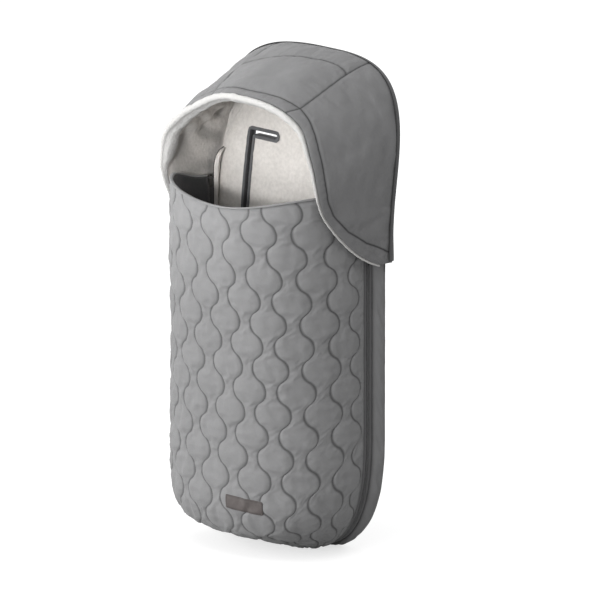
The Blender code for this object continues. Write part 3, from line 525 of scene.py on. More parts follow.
# A darker copy of the same shell fabric: painted shade for the hood, the back and the side strip.
GREY_PLAIN_SHADED = shell_fabric("grey_shell_plain", (0.170, 0.170, 0.172), painted_shade_depth=0.82)
DARK = shell_fabric("dark_lining", (0.046, 0.046, 0.049), painted_shade_depth=0.2, pitch=0.0005)
CAP = shell_fabric("cap_fabric", (0.098, 0.098, 0.100), painted_shade_depth=0.85)
BINDING = shell_fabric("slot_tape", (0.105, 0.106, 0.110), painted_shade_depth=0.85, pitch=0.0009)
FLEECE = pile_fabric("cream_pile", (0.640, 0.614, 0.585))
WHITE_FLEECE = pile_fabric("white_pile", (0.475, 0.469, 0.460), shade=0.05, clump=240.0)
ZIP_TAPE = shell_fabric("zip_weave", (0.112, 0.112, 0.114), painted_shade_depth=0.40, pitch=0.0007)
ZIP_COIL = thread_finish("zip_filament", (0.170, 0.170, 0.172))
METAL = metal_finish("dark_zinc", (0.060, 0.058, 0.056))
LABEL = label_finish("brown_patch", (0.077, 0.066, 0.063))
GREY_THREAD = thread_finish("grey_thread", (0.150, 0.150, 0.152))
DARK_THREAD = thread_finish("dark_thread", (0.055, 0.053, 0.052))


# Shapes of the solids

EDGE_STEP = 0.004
CLOTH_THICKNESS = 0.0016


def back_y(z):
    lean = np.maximum(0.0, z - LEAN_START) / (BACK_TOP - LEAN_START)
    return GUSSET_DEPTH + LEAN_DEPTH * lean ** 2


def tub_half(z, half_width):
    """Half width of the tub's edge at a height, round the foot's corners and the top's arch."""
    z = np.asarray(z, float)
    down = 1 - clamp(z / CORNER_RISE)
    angle = np.arccos(np.clip(down ** (CORNER_POWER / 2), 0.0, 1.0))
    across = np.sin(angle) ** (2 / CORNER_POWER)
    rise = clamp((z - ARCH_START) / (BACK_TOP - ARCH_START))
    arch = np.maximum(0.0, 1 - rise ** ARCH_POWER) ** (1 / ARCH_POWER)
    return blend(FOOT_HALF_WIDTH, half_width, across) * arch


def tub_edge(half_width, top, step):
    """The U-shaped edge from the left top, round the foot, to the right top, as (x, z)."""
    across, down = quarter(CORNER_POWER, np.linspace(0.0, 1.0, 200))
    corner = np.stack([blend(FOOT_HALF_WIDTH, half_width, across), CORNER_RISE * (1 - down)], 1)
    heights = np.linspace(CORNER_RISE, top, 200)[1:]
    upright = np.stack([tub_half(heights, half_width), heights], axis=1)
    right = np.concatenate([[(0.0, 0.0)], corner, upright])
    right = evenly(right, step)
    left = right[:0:-1] * (-1.0, 1.0)
    return np.concatenate([left, right])


def edge_out(edge):
    """Outward directions, in the plane of the edge."""
    ahead = unit(np.gradient(edge, axis=0))
    return np.stack([ahead[:, 1], -ahead[:, 0]], axis=1)


def upright(plane, y):
    """Points given as (x, z), set at a depth y."""
    return np.stack([plane[..., 0], np.broadcast_to(y, plane.shape[:-1]), plane[..., 1]], axis=-1)


def stood_off(line, out, lift, y):
    """Points beside a line of (x, z), moved outwards by the lift and set at a depth y."""
    return upright(line + out * np.reshape(lift, (-1, 1)), y)


def neck_height(share):
    share = np.asarray(share, float)
    rise = np.full(share.shape, NECK_RISES[-1][1])
    for (start, low), (end, high) in reversed(list(zip(NECK_RISES, NECK_RISES[1:]))):
        eased = blend(low, high, (1 - np.cos(pi * (share - start) / (end - start))) / 2)
        rise = np.where(share <= end, eased, rise)
    return rise


def cover_section(toe, height):
    """Points across the cover at one row, as distance from its middle line and position."""
    across, down = quarter(CORNER_POWER, toe)
    half = blend(FOOT_HALF_WIDTH, ZIP_HALF_WIDTH, across)
    z_side = CORNER_RISE * (1 - down)
    foot_rows = 2 / COVER_TOE_ROWS
    turn = max(0.0, (toe - foot_rows) / (1 - foot_rows))
    out, _ = quarter(COVER_TOE_POWER, turn)
    depth = blend(COVER_FOOT_DEPTH * min(1.0, toe / foot_rows), COVER_DEPTH, out)
    slope = TOE_SLOPE * max(0.0, depth - COVER_FOOT_DEPTH)
    turned = clamp((depth - COVER_DEPTH + TOE_ROUND) / TOE_ROUND)
    upright = COVER_TOE_RISE - TOE_SLOPE * (COVER_DEPTH - COVER_FOOT_DEPTH)
    z_front = slope + upright * (1 - np.sqrt(1 - turned ** 2))
    angles = np.linspace(0.0, pi, 481)
    c = np.cos(angles)
    x = -half * np.sign(c) * np.abs(c) ** (2 / COVER_SECTION_POWER)
    bulge = np.abs(np.sin(angles)) ** (2 / COVER_SECTION_POWER)
    y = -ZIP_BAND_HALF - depth * bulge
    z = z_side + (z_front - z_side) * bulge
    arc = np.concatenate([[0.0], np.cumsum(np.hypot(np.diff(x), np.diff(y)))])
    if height > 0:
        top = NECK_SIDE_HEIGHT - NECK_FOLD + neck_height(2 * arc / arc[-1] - 1)
        z = z + (top - z) * height
    return arc - arc[-1] / 2, np.stack([x, y, z], axis=1)


def cover_rows(step):
    """Rows of the cover as (toe, height), spread evenly along its middle, foot first."""
    count = 300
    fine = [(k / count, 0.0) for k in range(count + 1)]
    fine += [(1.0, k / count) for k in range(1, count + 1)]
    travel = along(np.array([at([0.0], *cover_section(*row))[0] for row in fine]))
    stops = np.linspace(0.0, travel[-1], round(travel[-1] / step) + 1)
    index = np.interp(stops, travel, np.arange(len(fine)))
    rows = [(min(1.0, i / count), max(0.0, (i - count) / count)) for i in index]
    return rows, stops


def across_cover(sections, stops):
    """Grid points at given distances from the middle line, held at the cover's edges."""
    return np.array([at(row, *section) for section, row in zip(sections, stops)])


def quilt_wave(distance):
    """Swing of a sewn line as a share of its widest: circular arcs to either side in turn."""
    half = QUILT_PERIOD / 2
    radius = ((half / 2) ** 2 + QUILT_SWING ** 2) / (2 * QUILT_SWING)
    place = (np.asarray(distance) / half + 0.5) % 2
    offset = (place % 1 - 0.5) * half
    height = np.sqrt(radius ** 2 - offset ** 2) - (radius - QUILT_SWING)
    return np.where(place < 1, 1.0, -1.0) * height / QUILT_SWING


# Cloth simulation

CLOTH_FRAMES = 20


def settle(points, normal, held, pressure, slack, cap):
    """Where a grid of cloth moves when it is held at its seams and blown up from inside.

    The cloth is cut larger than its place by the slack; no point moves further than the cap.
    """
    rows, columns = points.shape[:2]
    flat = points.reshape(-1, 3)
    faces = np.array(grid_faces(rows, columns))
    sides = np.linalg.norm(flat[faces] - flat[np.roll(faces, -1, axis=1)], axis=2)
    faces = faces[sides.min(axis=1) > 0.0004]
    first = np.cross(flat[faces[:, 1]] - flat[faces[:, 0]], flat[faces[:, 3]] - flat[faces[:, 0]])
    if (first * normal.reshape(-1, 3)[faces[:, 0]]).sum() < 0:
        faces = faces[:, ::-1]
    mesh = bpy.data.meshes.new("cloth")
    mesh.from_pydata(flat.tolist(), [], faces.tolist())
    cloth = show("cloth", mesh)
    loose = np.ones(len(flat), bool)
    loose[np.unique(faces)] = False
    pins = cloth.vertex_groups.new(name="held")
    pins.add(np.nonzero(held.ravel() | loose)[0].tolist(), 1.0, "REPLACE")
    modifier = cloth.modifiers.new("cloth", "CLOTH")
    settings = modifier.settings
    settings.vertex_group_mass = "held"
    settings.use_pressure = True
    settings.uniform_pressure_force = pressure
    settings.effector_weights.gravity = 0
    settings.shrink_min = -slack
    settings.quality = 5
    modifier.point_cache.frame_start = 1
    modifier.point_cache.frame_end = CLOTH_FRAMES
    for frame_number in range(1, CLOTH_FRAMES + 1):
        bpy.context.scene.frame_set(frame_number)
    shaped = cloth.evaluated_get(bpy.context.evaluated_depsgraph_get())
    place = np.zeros(len(flat) * 3)
    shaped.data.vertices.foreach_get("co", place)
    bpy.data.objects.remove(cloth, do_unlink=True)
    bpy.context.scene.frame_set(1)
    move = place.reshape(points.shape) - points
    size = np.linalg.norm(move, axis=-1, keepdims=True)
    return move * np.minimum(1.0, cap / np.maximum(size, 1e-9))


def resample(grid, rows, columns, new_rows, new_columns):
    """Values of a coarse grid at the rows and columns of a finer one."""
    across = np.stack([at(new_columns, columns, row) for row in grid])
    return np.stack([at(new_rows, rows, column) for column in across.swapaxes(0, 1)], axis=1)


# Cover

INSIDE_BAG = (0.0, -0.05, 0.30)
COVER_STEP = 0.0026
CELL_COLUMNS = 14
WANDER_ROUNDS = 24
NEAR_ROWS = 14
SEAM_REACH = 0.0058
SEAM_LOW = 0.0034
CROWN_PROUD = 0.0006
COVER_THICKNESS = 0.0088
NECK_THICKNESS = 0.0040
STITCH_LENGTH = 0.0024
STITCH_GAP = 0.0008
LABEL_CORNER = 0.0022
LABEL_GROOVE = 0.0022
LABEL_THREAD_INSET = 0.0038
LABEL_THREAD_CORNER = 0.0016


def toe_columns(sections, rows, stations):
    """Where the cover's upright columns, named by their distance on the body, cross each row."""
    body, line = sections[-1]
    middle = len(body) // 2
    side_x = line[middle:, 0]
    side_u = body[middle:]
    columns = []
    many = np.broadcast_to(stations, (len(rows), np.shape(stations)[-1]))
    for (toe, _), (across, points), marks in zip(rows, sections, many):
        if toe >= 1.0:
            columns.append(np.clip(marks, across[0], across[-1]))
            continue
        reach, half = across[-1], points[-1, 0]
        limit_x = 0.88 * half
        limit_row = np.interp(limit_x, points[middle:, 0], across[middle:])
        limit_body = np.interp(limit_x, side_x, side_u)
        far = np.abs(marks)
        x = np.interp(far, side_u, side_x)
        front = np.interp(x, points[middle:, 0], across[middle:])
        share = (far - limit_body) / (body[-1] - limit_body)
        outer = blend(limit_row, reach, share)
        straight = np.sign(marks) * np.where(far < limit_body, front, outer)
        drawn_in = marks * reach / body[-1]
        columns.append(blend(straight, drawn_in, blend(0.45, 1.0, ease(-0.05, 0.08, marks))))
    return np.array(columns)


def quilt_lean(line, height):
    """How far a sewn line has wandered across the cloth at a height."""
    above = height - QUILT_LEAN_Z
    return -np.interp(line, *zip(*QUILT_LEAN)) * np.where(above > 0, above, QUILT_LEAN_LOW * above)


def quilt_layout():
    """Grid of the quilted cover: points, place in the flat cloth, and its sewn lines."""
    rows, _ = cover_rows(COVER_STEP)
    sections = [cover_section(*row) for row in rows]
    full = sections[-1][0][-1]
    lines = QUILT_FIRST + QUILT_PITCH * np.arange(QUILT_LINES)
    lines = lines + 0.009 * ease(0.15, 0.21, lines)
    signs = np.where(np.arange(QUILT_LINES) % 2, -1.0, 1.0)
    stations = np.linspace(-full, full, 241)
    straight = across_cover(sections, toe_columns(sections, rows, stations))
    steps = np.linalg.norm(np.diff(straight, axis=0), axis=2)
    below = np.concatenate([np.cumsum(steps[::-1], axis=0)[::-1], np.zeros((1, len(stations)))])
    down = below + QUILT_BULB_Z - straight[-1, :, 2]
    sewn = np.broadcast_to(lines, (len(rows), QUILT_LINES)).copy()
    for _ in range(WANDER_ROUNDS):
        level = np.stack([np.interp(line, stations, row) for line, row in zip(sewn, down)])
        wander = quilt_lean(lines, QUILT_BULB_Z - level)
        target = lines + wander + QUILT_SWING * signs * quilt_wave(level)
        sewn = blend(sewn, np.clip(target, -full, full), 0.5)
    level = np.stack([np.interp(line, stations, row) for line, row in zip(sewn, down)])
    edge = np.full((len(rows), 1), full)
    marks = np.concatenate([-edge, sewn, edge], axis=1)
    shares = np.arange(CELL_COLUMNS) / CELL_COLUMNS
    cells = [blend(marks[:, k:k + 1], marks[:, k + 1:k + 2], shares)
             for k in range(QUILT_LINES + 1)]
    stops = np.concatenate(cells + [edge], axis=1)
    place = toe_columns(sections, rows, stops)
    points = across_cover(sections, place)
    reach = np.array([across[-1] for across, _ in sections])[:, None]
    heights = np.stack([np.interp(stop, stations, row) for stop, row in zip(stops, down)])
    gaps = np.diff(place[:, ::CELL_COLUMNS], axis=1)
    gaps[:, [0, -1]] += 0.020
    clear = ease(0.003, 0.010, np.minimum(gaps[:, :-1], gaps[:, 1:]))
    return points, stops, heights, sewn, level, reach - np.abs(place), clear


def line_distance(stops, heights, line, line_heights):
    """Distance of each grid point from one sewn line, in the flat cloth."""
    best = np.full(stops.shape, 1.0)
    for shift in range(-NEAR_ROWS, NEAR_ROWS + 1):
        near = np.clip(np.arange(len(line)) + shift, 0, len(line) - 1)
        gap = np.hypot(stops - line[near][:, None], heights - line_heights[near][:, None])
        best = np.minimum(best, gap)
    return best


def quilted_cover():
    """Quilted shell with its wadding, sunk along the sewn lines, and the thread in them."""
    points, stops, heights, sewn, level, to_zip, clear = quilt_layout()
    normal = grid_normals(points, INSIDE_BAG)
    near = np.full(stops.shape, 1.0)
    loft = np.ones(stops.shape)
    for k in range(QUILT_LINES):
        low, high = max(0, k * CELL_COLUMNS), min(stops.shape[1], (k + 2) * CELL_COLUMNS + 1)
        gap = line_distance(stops[:, low:high], heights[:, low:high], sewn[:, k], level[:, k])
        gap = gap + 0.04 * (1 - clear[:, k:k + 1])
        near[:, low:high] = np.minimum(near[:, low:high], gap)
        loft[:, low:high] *= 1 - 0.68 * fade(gap, SEAM_REACH) - 0.32 * fade(gap, 0.0008)
    loft *= 1 - fade(to_zip + 0.0006, 0.006)
    to_neck = np.linalg.norm(points - points[-1:], axis=2)
    loft *= 1 - 0.6 * fade(to_neck, 0.005)
    flat = np.stack([stops, heights], axis=-1)
    beside = fade(near, 0.007) * (1 - fade(near, 0.0012))
    pucker = (ripple(flat * (0.8, 1.3), 0.011, 11, 14) + 0.6 * ripple(flat, 0.006, 16, 14)) * beside
    folds = ripple(flat * (1.0, 2.0), 0.040, 12, 9) + 0.6 * ripple(flat * (2.0, 1.0), 0.030, 17, 9)
    sway = ripple(points, 0.16, 13)
    leaning = np.stack([flat[..., 0] + 0.8 * flat[..., 1], flat[..., 1]], axis=-1)
    drawn = ripple(leaning * (0.35, 1.5), 0.017, 18, 12) * fade(to_zip, 0.013)
    drawn = drawn * (1 - fade(to_zip, 0.003))
    edge = fade(to_zip, 0.002)
    start = points[::2, ::2] - normal[::2, ::2] * SEAM_LOW
    held = to_zip[::2, ::2] < 0.003
    held[:, ::CELL_COLUMNS // 2] = True
    held[0] = held[-1] = True
    blown = settle(start, normal[::2, ::2], held, pressure=5.0, slack=0.035, cap=0.008)
    relief = SEAM_LOW + CROWN_PROUD
    rise = relief * loft
    drift = np.zeros(points.shape)
    if blown is not None:
        rows, columns = np.arange(len(points)), np.arange(points.shape[1])
        drift = resample(blown, rows[::2], columns[::2], rows, columns)
        up = (drift * normal).sum(axis=-1)
        drift = drift - normal * up[..., None]
        top = np.percentile(up, 92)
        rise = 0.45 * rise + 0.55 * relief * np.minimum(up / top, 1.25)
        drift *= (1 - fade(np.minimum(near, to_zip), 0.004))[..., None]
    height = (-SEAM_LOW + rise + 0.00040 * pucker + 0.0007 * drawn
              + 0.00045 * folds * loft + 0.0010 * sway * (1 - fade(to_zip, 0.03)))
    height = blend(np.minimum(height, 0.0022), -0.0004, edge)
    outer = points + normal * height[..., None] + drift * (1 - edge)[..., None]
    raise_to(outer, 0.0)
    thick = blend(NECK_THICKNESS, COVER_THICKNESS, ease(0.0, 0.03, to_neck))
    inner = points - normal * thick[..., None]
    raise_to(inner, 0.0022)
    # Painted shade along the sewn lines and beside the zip.
    seam = np.maximum(fade(near, 0.0007), 0.8 * fade(to_zip, 0.0015))
    quilt = slab("cover_quilt", outer, inner, GREY, flat, seam, merge=0.00004)
    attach(quilt, "cover")
    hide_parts("cover_shell", "cover_padding")
    paths, ups = [], []
    for k in range(QUILT_LINES):
        column = (k + 1) * CELL_COLUMNS
        inside = (to_zip[:, column] > 0.004) & (clear[:, k] > 0.5)
        paths.append(outer[inside, column])
        ups.append(normal[inside, column])
    thread = stitches("cover_stitches", paths, ups, STITCH_LENGTH, STITCH_GAP, 0.00020,
                      GREY_THREAD)
    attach(thread, "cover")
    return quilt


def cover_lining():
    """Dark lining inside the cover, with the quilting's soft dimples."""
    rows, _ = cover_rows(0.006)
    sections = [cover_section(*row) for row in rows]
    shares = np.linspace(-1, 1, 91)
    stops = [across[-1] * shares for across, _ in sections]
    points = across_cover(sections, stops)
    normal = grid_normals(points, INSIDE_BAG)
    flat = lay(np.linspace(0, 0.7, len(rows)), shares * 0.27)[..., ::-1]
    to_neck = np.linalg.norm(points - points[-1:], axis=2)
    start = blend(NECK_THICKNESS, COVER_THICKNESS, ease(0.0, 0.03, to_neck)) + 0.0004
    soft = ease(0.0, 0.02, to_neck)
    waves = 0.0011 * ripple(flat * (1.0, 0.6), 0.035, 21) + 0.0006 * ripple(flat, 0.013, 22)
    near = points - normal * start[..., None]
    far = points - normal * (start + 0.0014 + (waves + 0.0004) * soft)[..., None]
    raise_to(near, 0.0030)
    raise_to(far, 0.0040)
    lining = slab("cover_inner_lining", near, far, DARK, flat, np.zeros(start.shape))
    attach(lining, "cover")
    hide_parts("cover_lining")
    return lining


def neck_hem():
    """The thin turned edge along the cover's top."""
    _, line = cover_section(1.0, 1.0)
    edge = evenly(line, 0.003)
    ahead = unit(np.gradient(edge, axis=0))
    out = unit(np.stack([ahead[:, 1], -ahead[:, 0], 0 * ahead[:, 0]], axis=1))
    out *= np.sign(((edge - (0.0, -0.03, 0.0)) * out * (1, 1, 0)).sum())
    high = NECK_FOLD
    inner = -NECK_THICKNESS - 0.0018
    profile = np.array([(0.0001, -0.0006), (0.0003, high * 0.3), (0.0000, high * 0.7),
                        (-0.0010, high * 0.95), (inner * 0.5, high * 1.05),
                        (inner + 0.0010, high * 0.9), (inner, high * 0.5),
                        (inner - 0.0001, -0.0006)])
    travel = along(edge)
    sway = 0.0002 * ripple(travel[:, None], 0.03, 31) + 0.0001 * ripple(travel[:, None], 0.01, 32)
    rings = (edge[:, None] + out[:, None] * (profile[:, 0][None, :, None] + sway[:, None, None])
             + np.array([0, 0, 1.0]) * (profile[:, 1] + 2 * GAP)[None, :, None])
    hem = sweep("cover_hem", rings, GREY, uv=lay(travel, along(profile)),
                marks=np.zeros(rings.shape[:2]))
    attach(hem, "cover")
    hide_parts("cover_neck_hem")


def on_label(x, y, z):
    """Points at a depth y, from their place on the flat label."""
    return np.stack([LABEL_X + x, y, LABEL_Z + z - LABEL_TILT * x], axis=-1)


def label(quilt):
    """Blank sewn patch that follows the quilting, with a stitched border."""
    graph = bpy.context.evaluated_depsgraph_get()
    tree = BVHTree.FromObject(quilt, graph)
    xs = np.linspace(-0.5, 0.5, 57)
    zs = np.linspace(-0.5, 0.5, 21)
    front = np.zeros((len(zs), len(xs)))
    ahead = Vector((0.0, 1.0, 0.0))
    for i, z in enumerate(zs):
        for j, x in enumerate(xs):
            start = Vector(on_label(LABEL_WIDTH * x, -0.4 + SHIFT, LABEL_HEIGHT * z))
            front[i, j] = tree.ray_cast(start, ahead)[0].y - SHIFT
    crest = front.copy()
    for _ in range(10):
        padded = np.pad(crest, 1, mode="edge")
        eased = (padded[1:-1, :-2] + padded[1:-1, 2:] + padded[:-2, 1:-1] + padded[2:, 1:-1]) / 4
        crest = np.minimum(blend(crest, eased, 0.9), front + 0.0004)
    across = LABEL_WIDTH * xs[None, :]
    upward = LABEL_HEIGHT * zs[:, None]
    beyond_x = np.maximum(0.0, np.abs(across) - (LABEL_WIDTH / 2 - LABEL_CORNER))
    beyond_z = np.maximum(0.0, np.abs(upward) - (LABEL_HEIGHT / 2 - LABEL_CORNER))
    far_out = np.hypot(beyond_x, beyond_z)
    pull = np.where(far_out > LABEL_CORNER, LABEL_CORNER / np.maximum(far_out, 1e-9), 1.0)
    x = np.sign(across) * (np.abs(across) - beyond_x * (1 - pull)) + 0 * upward
    z = np.sign(upward) * (np.abs(upward) - beyond_z * (1 - pull)) + 0 * across
    inset = np.minimum(LABEL_WIDTH / 2 - np.abs(x), LABEL_HEIGHT / 2 - np.abs(z))
    inset = np.maximum(inset, 0.0)
    dome = 1 - fade(inset, 0.0008)
    groove = np.exp(-((inset - LABEL_GROOVE) / 0.0005) ** 2)
    base = crest - 0.0003
    face = base - LABEL_THICKNESS * (0.55 + 0.45 * dome) + 0.00025 * groove
    # Painted shade along the patch's edge and in its stitch groove.
    marks = np.maximum(fade(inset, 0.0004), 0.7 * groove)
    patch = slab("label_blank", on_label(x, face, z), on_label(x, base, z), LABEL,
                 np.stack([x, z], axis=-1), marks)
    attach(patch, "cover")
    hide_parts("label_patch")
    loop = []
    for quarter_turn, (hand_x, hand_z) in enumerate(((1, 1), (-1, 1), (-1, -1), (1, -1))):
        for turn in np.linspace(0, pi / 2, 7) + quarter_turn * pi / 2:
            loop.append((hand_x * (LABEL_WIDTH / 2 - LABEL_THREAD_INSET)
                         + LABEL_THREAD_CORNER * cos(turn),
                         hand_z * (LABEL_HEIGHT / 2 - LABEL_THREAD_INSET)
                         + LABEL_THREAD_CORNER * sin(turn)))
    loop = evenly(np.array(loop + loop[:1]), 0.001)
    column = np.interp(loop[:, 0], LABEL_WIDTH * xs, np.arange(len(xs)))
    row = np.interp(loop[:, 1], LABEL_HEIGHT * zs, np.arange(len(zs)))
    depth = face[np.round(row).astype(int), np.round(column).astype(int)] - 0.00008
    path = on_label(loop[:, 0], depth, loop[:, 1])
    ups = np.broadcast_to(np.array([0.0, -1.0, 0.0]), path.shape)
    thread = stitches("label_stitches", [path], [ups], 0.0019, 0.0007, 0.00018, DARK_THREAD)
    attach(thread, "cover")


# Zip

TAPE_THICKNESS = 0.0008
TAPE_SECTION = ((0.0002, -0.0027), (0.0014, -0.0027), (0.0026, -0.0026), (0.0031, -0.0015),
                (0.0038, -0.0008), (0.0048, -0.0006), (0.0058, -0.0006), (0.0068, -0.0006),
                (0.0078, -0.0006), (0.0086, -0.0007), (0.0094, -0.0009))
COIL_PITCH = 0.0014
COIL_STEPS = 7
FILAMENT_RADIUS = 0.00036


def zip_band():
    """Tapes and coils on both sides of the zip; the tape runs on behind the coil."""
    edge = tub_edge(ZIP_HALF_WIDTH, ZIP_TOP, EDGE_STEP)
    out = edge_out(edge)
    travel = along(edge)
    coil_end = COIL_PARTING + COIL_WIDTH
    for name, hand, body in (("body", 1, "tub"), ("cover", -1, "cover")):
        ys, lift = np.array(TAPE_SECTION).T
        wave = 0.00015 * ripple(travel[:, None], 0.02, 41 + hand)
        near = np.stack([stood_off(edge, out, h + wave, hand * y) for y, h in zip(ys, lift)], 1)
        thick = upright(out, 0.0)[:, None] * TAPE_THICKNESS
        uv = lay(travel, ys)
        # Painted shade along the tape's outer edge and beside the coil.
        marks = np.broadcast_to(fade(np.maximum(0.0, ZIP_BAND_HALF - ys), 0.0010)
                                + 0.8 * fade(np.maximum(0.0, ys - coil_end), 0.0004),
                                near.shape[:2])
        far = near - thick
        raise_to(near, 0.0002)
        raise_to(far, 0.0010)
        tape = slab(f"zip_woven_tape_{name}", near, far, ZIP_TAPE, uv, marks)
        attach(tape, body)
        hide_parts(f"zip_tape_{name}")
        coil = zip_coil(name, hand)
        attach(coil, body)
        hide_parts(f"zip_coil_{name}")


def zip_coil(name, hand):
    """One row of coil teeth: a flattened helix along the tub's edge."""
    edge = tub_edge(ZIP_HALF_WIDTH, ZIP_TOP, 0.003)
    out = edge_out(edge)
    travel = along(edge)
    turns = int(travel[-1] / COIL_PITCH)
    t = (np.arange(turns * COIL_STEPS) + 0.5) / COIL_STEPS
    stops = t * COIL_PITCH
    phase = 2 * pi * t + (0 if hand > 0 else pi)
    middle, way = at(stops, travel, edge), unit(at(stops, travel, out))
    near, far = COIL_MEET, COIL_PARTING + COIL_WIDTH - 0.0004
    y = hand * (blend(near, far, 0.5) + (far - near) / 2 * np.cos(phase))
    depth = -COIL_THICKNESS / 2 + (COIL_THICKNESS / 2 - 0.0004) * np.sin(phase)
    path = stood_off(middle, way, depth, y)
    raise_to(path, 0.0006)
    return round_tube(f"zip_filament_{name}", path, FILAMENT_RADIUS, ZIP_COIL, sides=4)


# Back and gusset

LOOP_STEP = 0.003
CUT_DEPTHS = (-0.02, 0.12)
BACK_CLEAR_OF_FOOT = 0.0021


def hook_loop(side, grow):
    half = SLOT_WIDTH / 2 + grow
    outer, inner = SLOT_X + half, SLOT_X - half
    end, low = SLOT_BRANCH_END - grow, SLOT_BOTTOM - grow
    top, under = SLOT_TOP + half, SLOT_TOP - half
    return [(side * x, z) for x, z in
            [(outer, low), (outer, top), (end, top), (end, under), (inner, under), (inner, low)]]


def crotch_loop(grow):
    half_x = CROTCH_SLOT_LENGTH / 2 + grow
    half_z = SLOT_WIDTH / 2 + grow
    z = CROTCH_SLOT_HEIGHT
    return [(-half_x, z - half_z), (half_x, z - half_z), (half_x, z + half_z),
            (-half_x, z + half_z)]


def slot_loops(grow):
    return {"slot_binding_left": hook_loop(-1, grow), "slot_binding_right": hook_loop(1, grow),
            "crotch_slot_binding": crotch_loop(grow)}


def round_loop(loop, radius, step):
    """Closed loop with its corners rounded, as evenly spread points."""
    loop = np.array(loop, float)
    points = []
    for i, here in enumerate(loop):
        before, after = unit(loop[i - 1] - here), unit(loop[(i + 1) % len(loop)] - here)
        reach = min(radius, np.linalg.norm(loop[i - 1] - here) / 2,
                    np.linalg.norm(loop[(i + 1) % len(loop)] - here) / 2)
        start, end = here + before * reach, here + after * reach
        for t in np.linspace(0, 1, 6):
            points.append((1 - t) ** 2 * start + 2 * t * (1 - t) * here + t ** 2 * end)
    closed = evenly(np.array(points + points[:1]), step)
    return closed[:-1]


def cut_slots(thing, grow):
    """Cut the harness slits through a layer of the back."""
    cutters = []
    for name, loop in slot_loops(grow).items():
        outline = round_loop(loop, 0.002, LOOP_STEP)
        cutter = sweep(f"{thing.name}_{name}_cutter", [upright(outline, y) for y in CUT_DEPTHS],
                       DARK)
        cut = thing.modifiers.new("slit", "BOOLEAN")
        cut.operation = "DIFFERENCE"
        cut.solver = "EXACT"
        cut.object = cutter
        cutters.append(cutter)
    graph = bpy.context.evaluated_depsgraph_get()
    mesh = bpy.data.meshes.new_from_object(thing.evaluated_get(graph))
    thing.modifiers.clear()
    thing.data = mesh
    mesh.shade_smooth()
    for cutter in cutters:
        bpy.data.objects.remove(cutter, do_unlink=True)


def back_layer(inset):
    """Grid over the back panel, with each point's distance from the slits and the side edge."""
    low = np.linspace(0, 1, 40)
    foot = CORNER_RISE * (1 - np.cos(low * pi / 2) ** (2 / CORNER_POWER))
    straight = np.linspace(CORNER_RISE, ARCH_START, round((ARCH_START - CORNER_RISE) / EDGE_STEP))
    arch = blend(ARCH_START, BACK_EDGE_TOP, np.sin(np.linspace(0, pi / 2, 40)))
    rows = np.unique(np.concatenate([foot, straight, arch]))
    half = tub_half(rows, BACK_HALF_WIDTH) - inset
    columns = np.linspace(-1, 1, round(2 * BACK_HALF_WIDTH / EDGE_STEP))
    z = np.broadcast_to(rows[:, None], (len(rows), len(columns)))
    x = half[:, None] * columns
    flat = np.stack([x, z], axis=-1)
    slits = np.concatenate([round_loop(loop, 0.002, 0.002)
                            for loop in slot_loops(BINDING_LIP).values()])
    near = nearest(upright(flat, 0.0), upright(slits, 0.0))
    return x, z, half, flat, near, np.maximum(0.0, half[:, None] - np.abs(x))


def back_panel():
    """Fleece with its wadding in front, and the plain shell behind, both cut by the slits."""
    x, z, half, flat, near, border = back_layer(0.0018)
    top = np.maximum(0.0, BACK_EDGE_TOP - z)
    loft = (1 - 0.8 * fade(near, 0.009)) * (1 - 0.7 * fade(border, 0.014))
    loft *= 1 - 0.8 * fade(top, 0.012)
    plush = (0.0006 * ripple(flat, 0.035, 51, 12) + 0.0004 * ripple(flat, 0.014, 52, 14)
             + 0.00025 * ripple(flat, 0.006, 53, 14))
    depth = back_y(z) - BACK_THICKNESS + 0.0016 - 0.0026 * loft + plush
    front = np.stack([x * (1 - 0.0052 / np.maximum(half, 0.02))[:, None], depth, z], axis=-1)
    rear = upright(flat, back_y(z) - 0.0024)
    raise_to(front, BACK_CLEAR_OF_FOOT)
    raise_to(rear, BACK_CLEAR_OF_FOOT)
    fleece = slab("back_fleece", front, rear, FLEECE, flat, np.zeros(x.shape))
    cut_slots(fleece, BINDING_WALL + GAP)
    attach(fleece, "tub")
    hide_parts("back_lining", "back_padding")

    _, z, _, flat, near, border = back_layer(0.0)
    soft = (1 - fade(border, 0.02)) * (1 - fade(near, 0.012))
    sway = (0.0012 * ripple(flat, 0.12, 54) + 0.0005 * ripple(flat, 0.04, 55)) * soft
    tuck = fade(border, 0.0025) * 0.0009
    outer = upright(flat, back_y(z) + sway + 0.0012 * soft - tuck)
    inner = outer - (0.0, CLOTH_THICKNESS, 0.0)
    # Painted shade along the panel's edge and round the slits.
    seam = np.maximum(fade(border, 0.0015), 0.6 * fade(near, 0.001))
    shell = slab("back_outer", outer, inner, GREY_PLAIN_SHADED, flat, seam)
    cut_slots(shell, BINDING_WALL + GAP)
    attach(shell, "tub")
    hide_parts("back_shell")


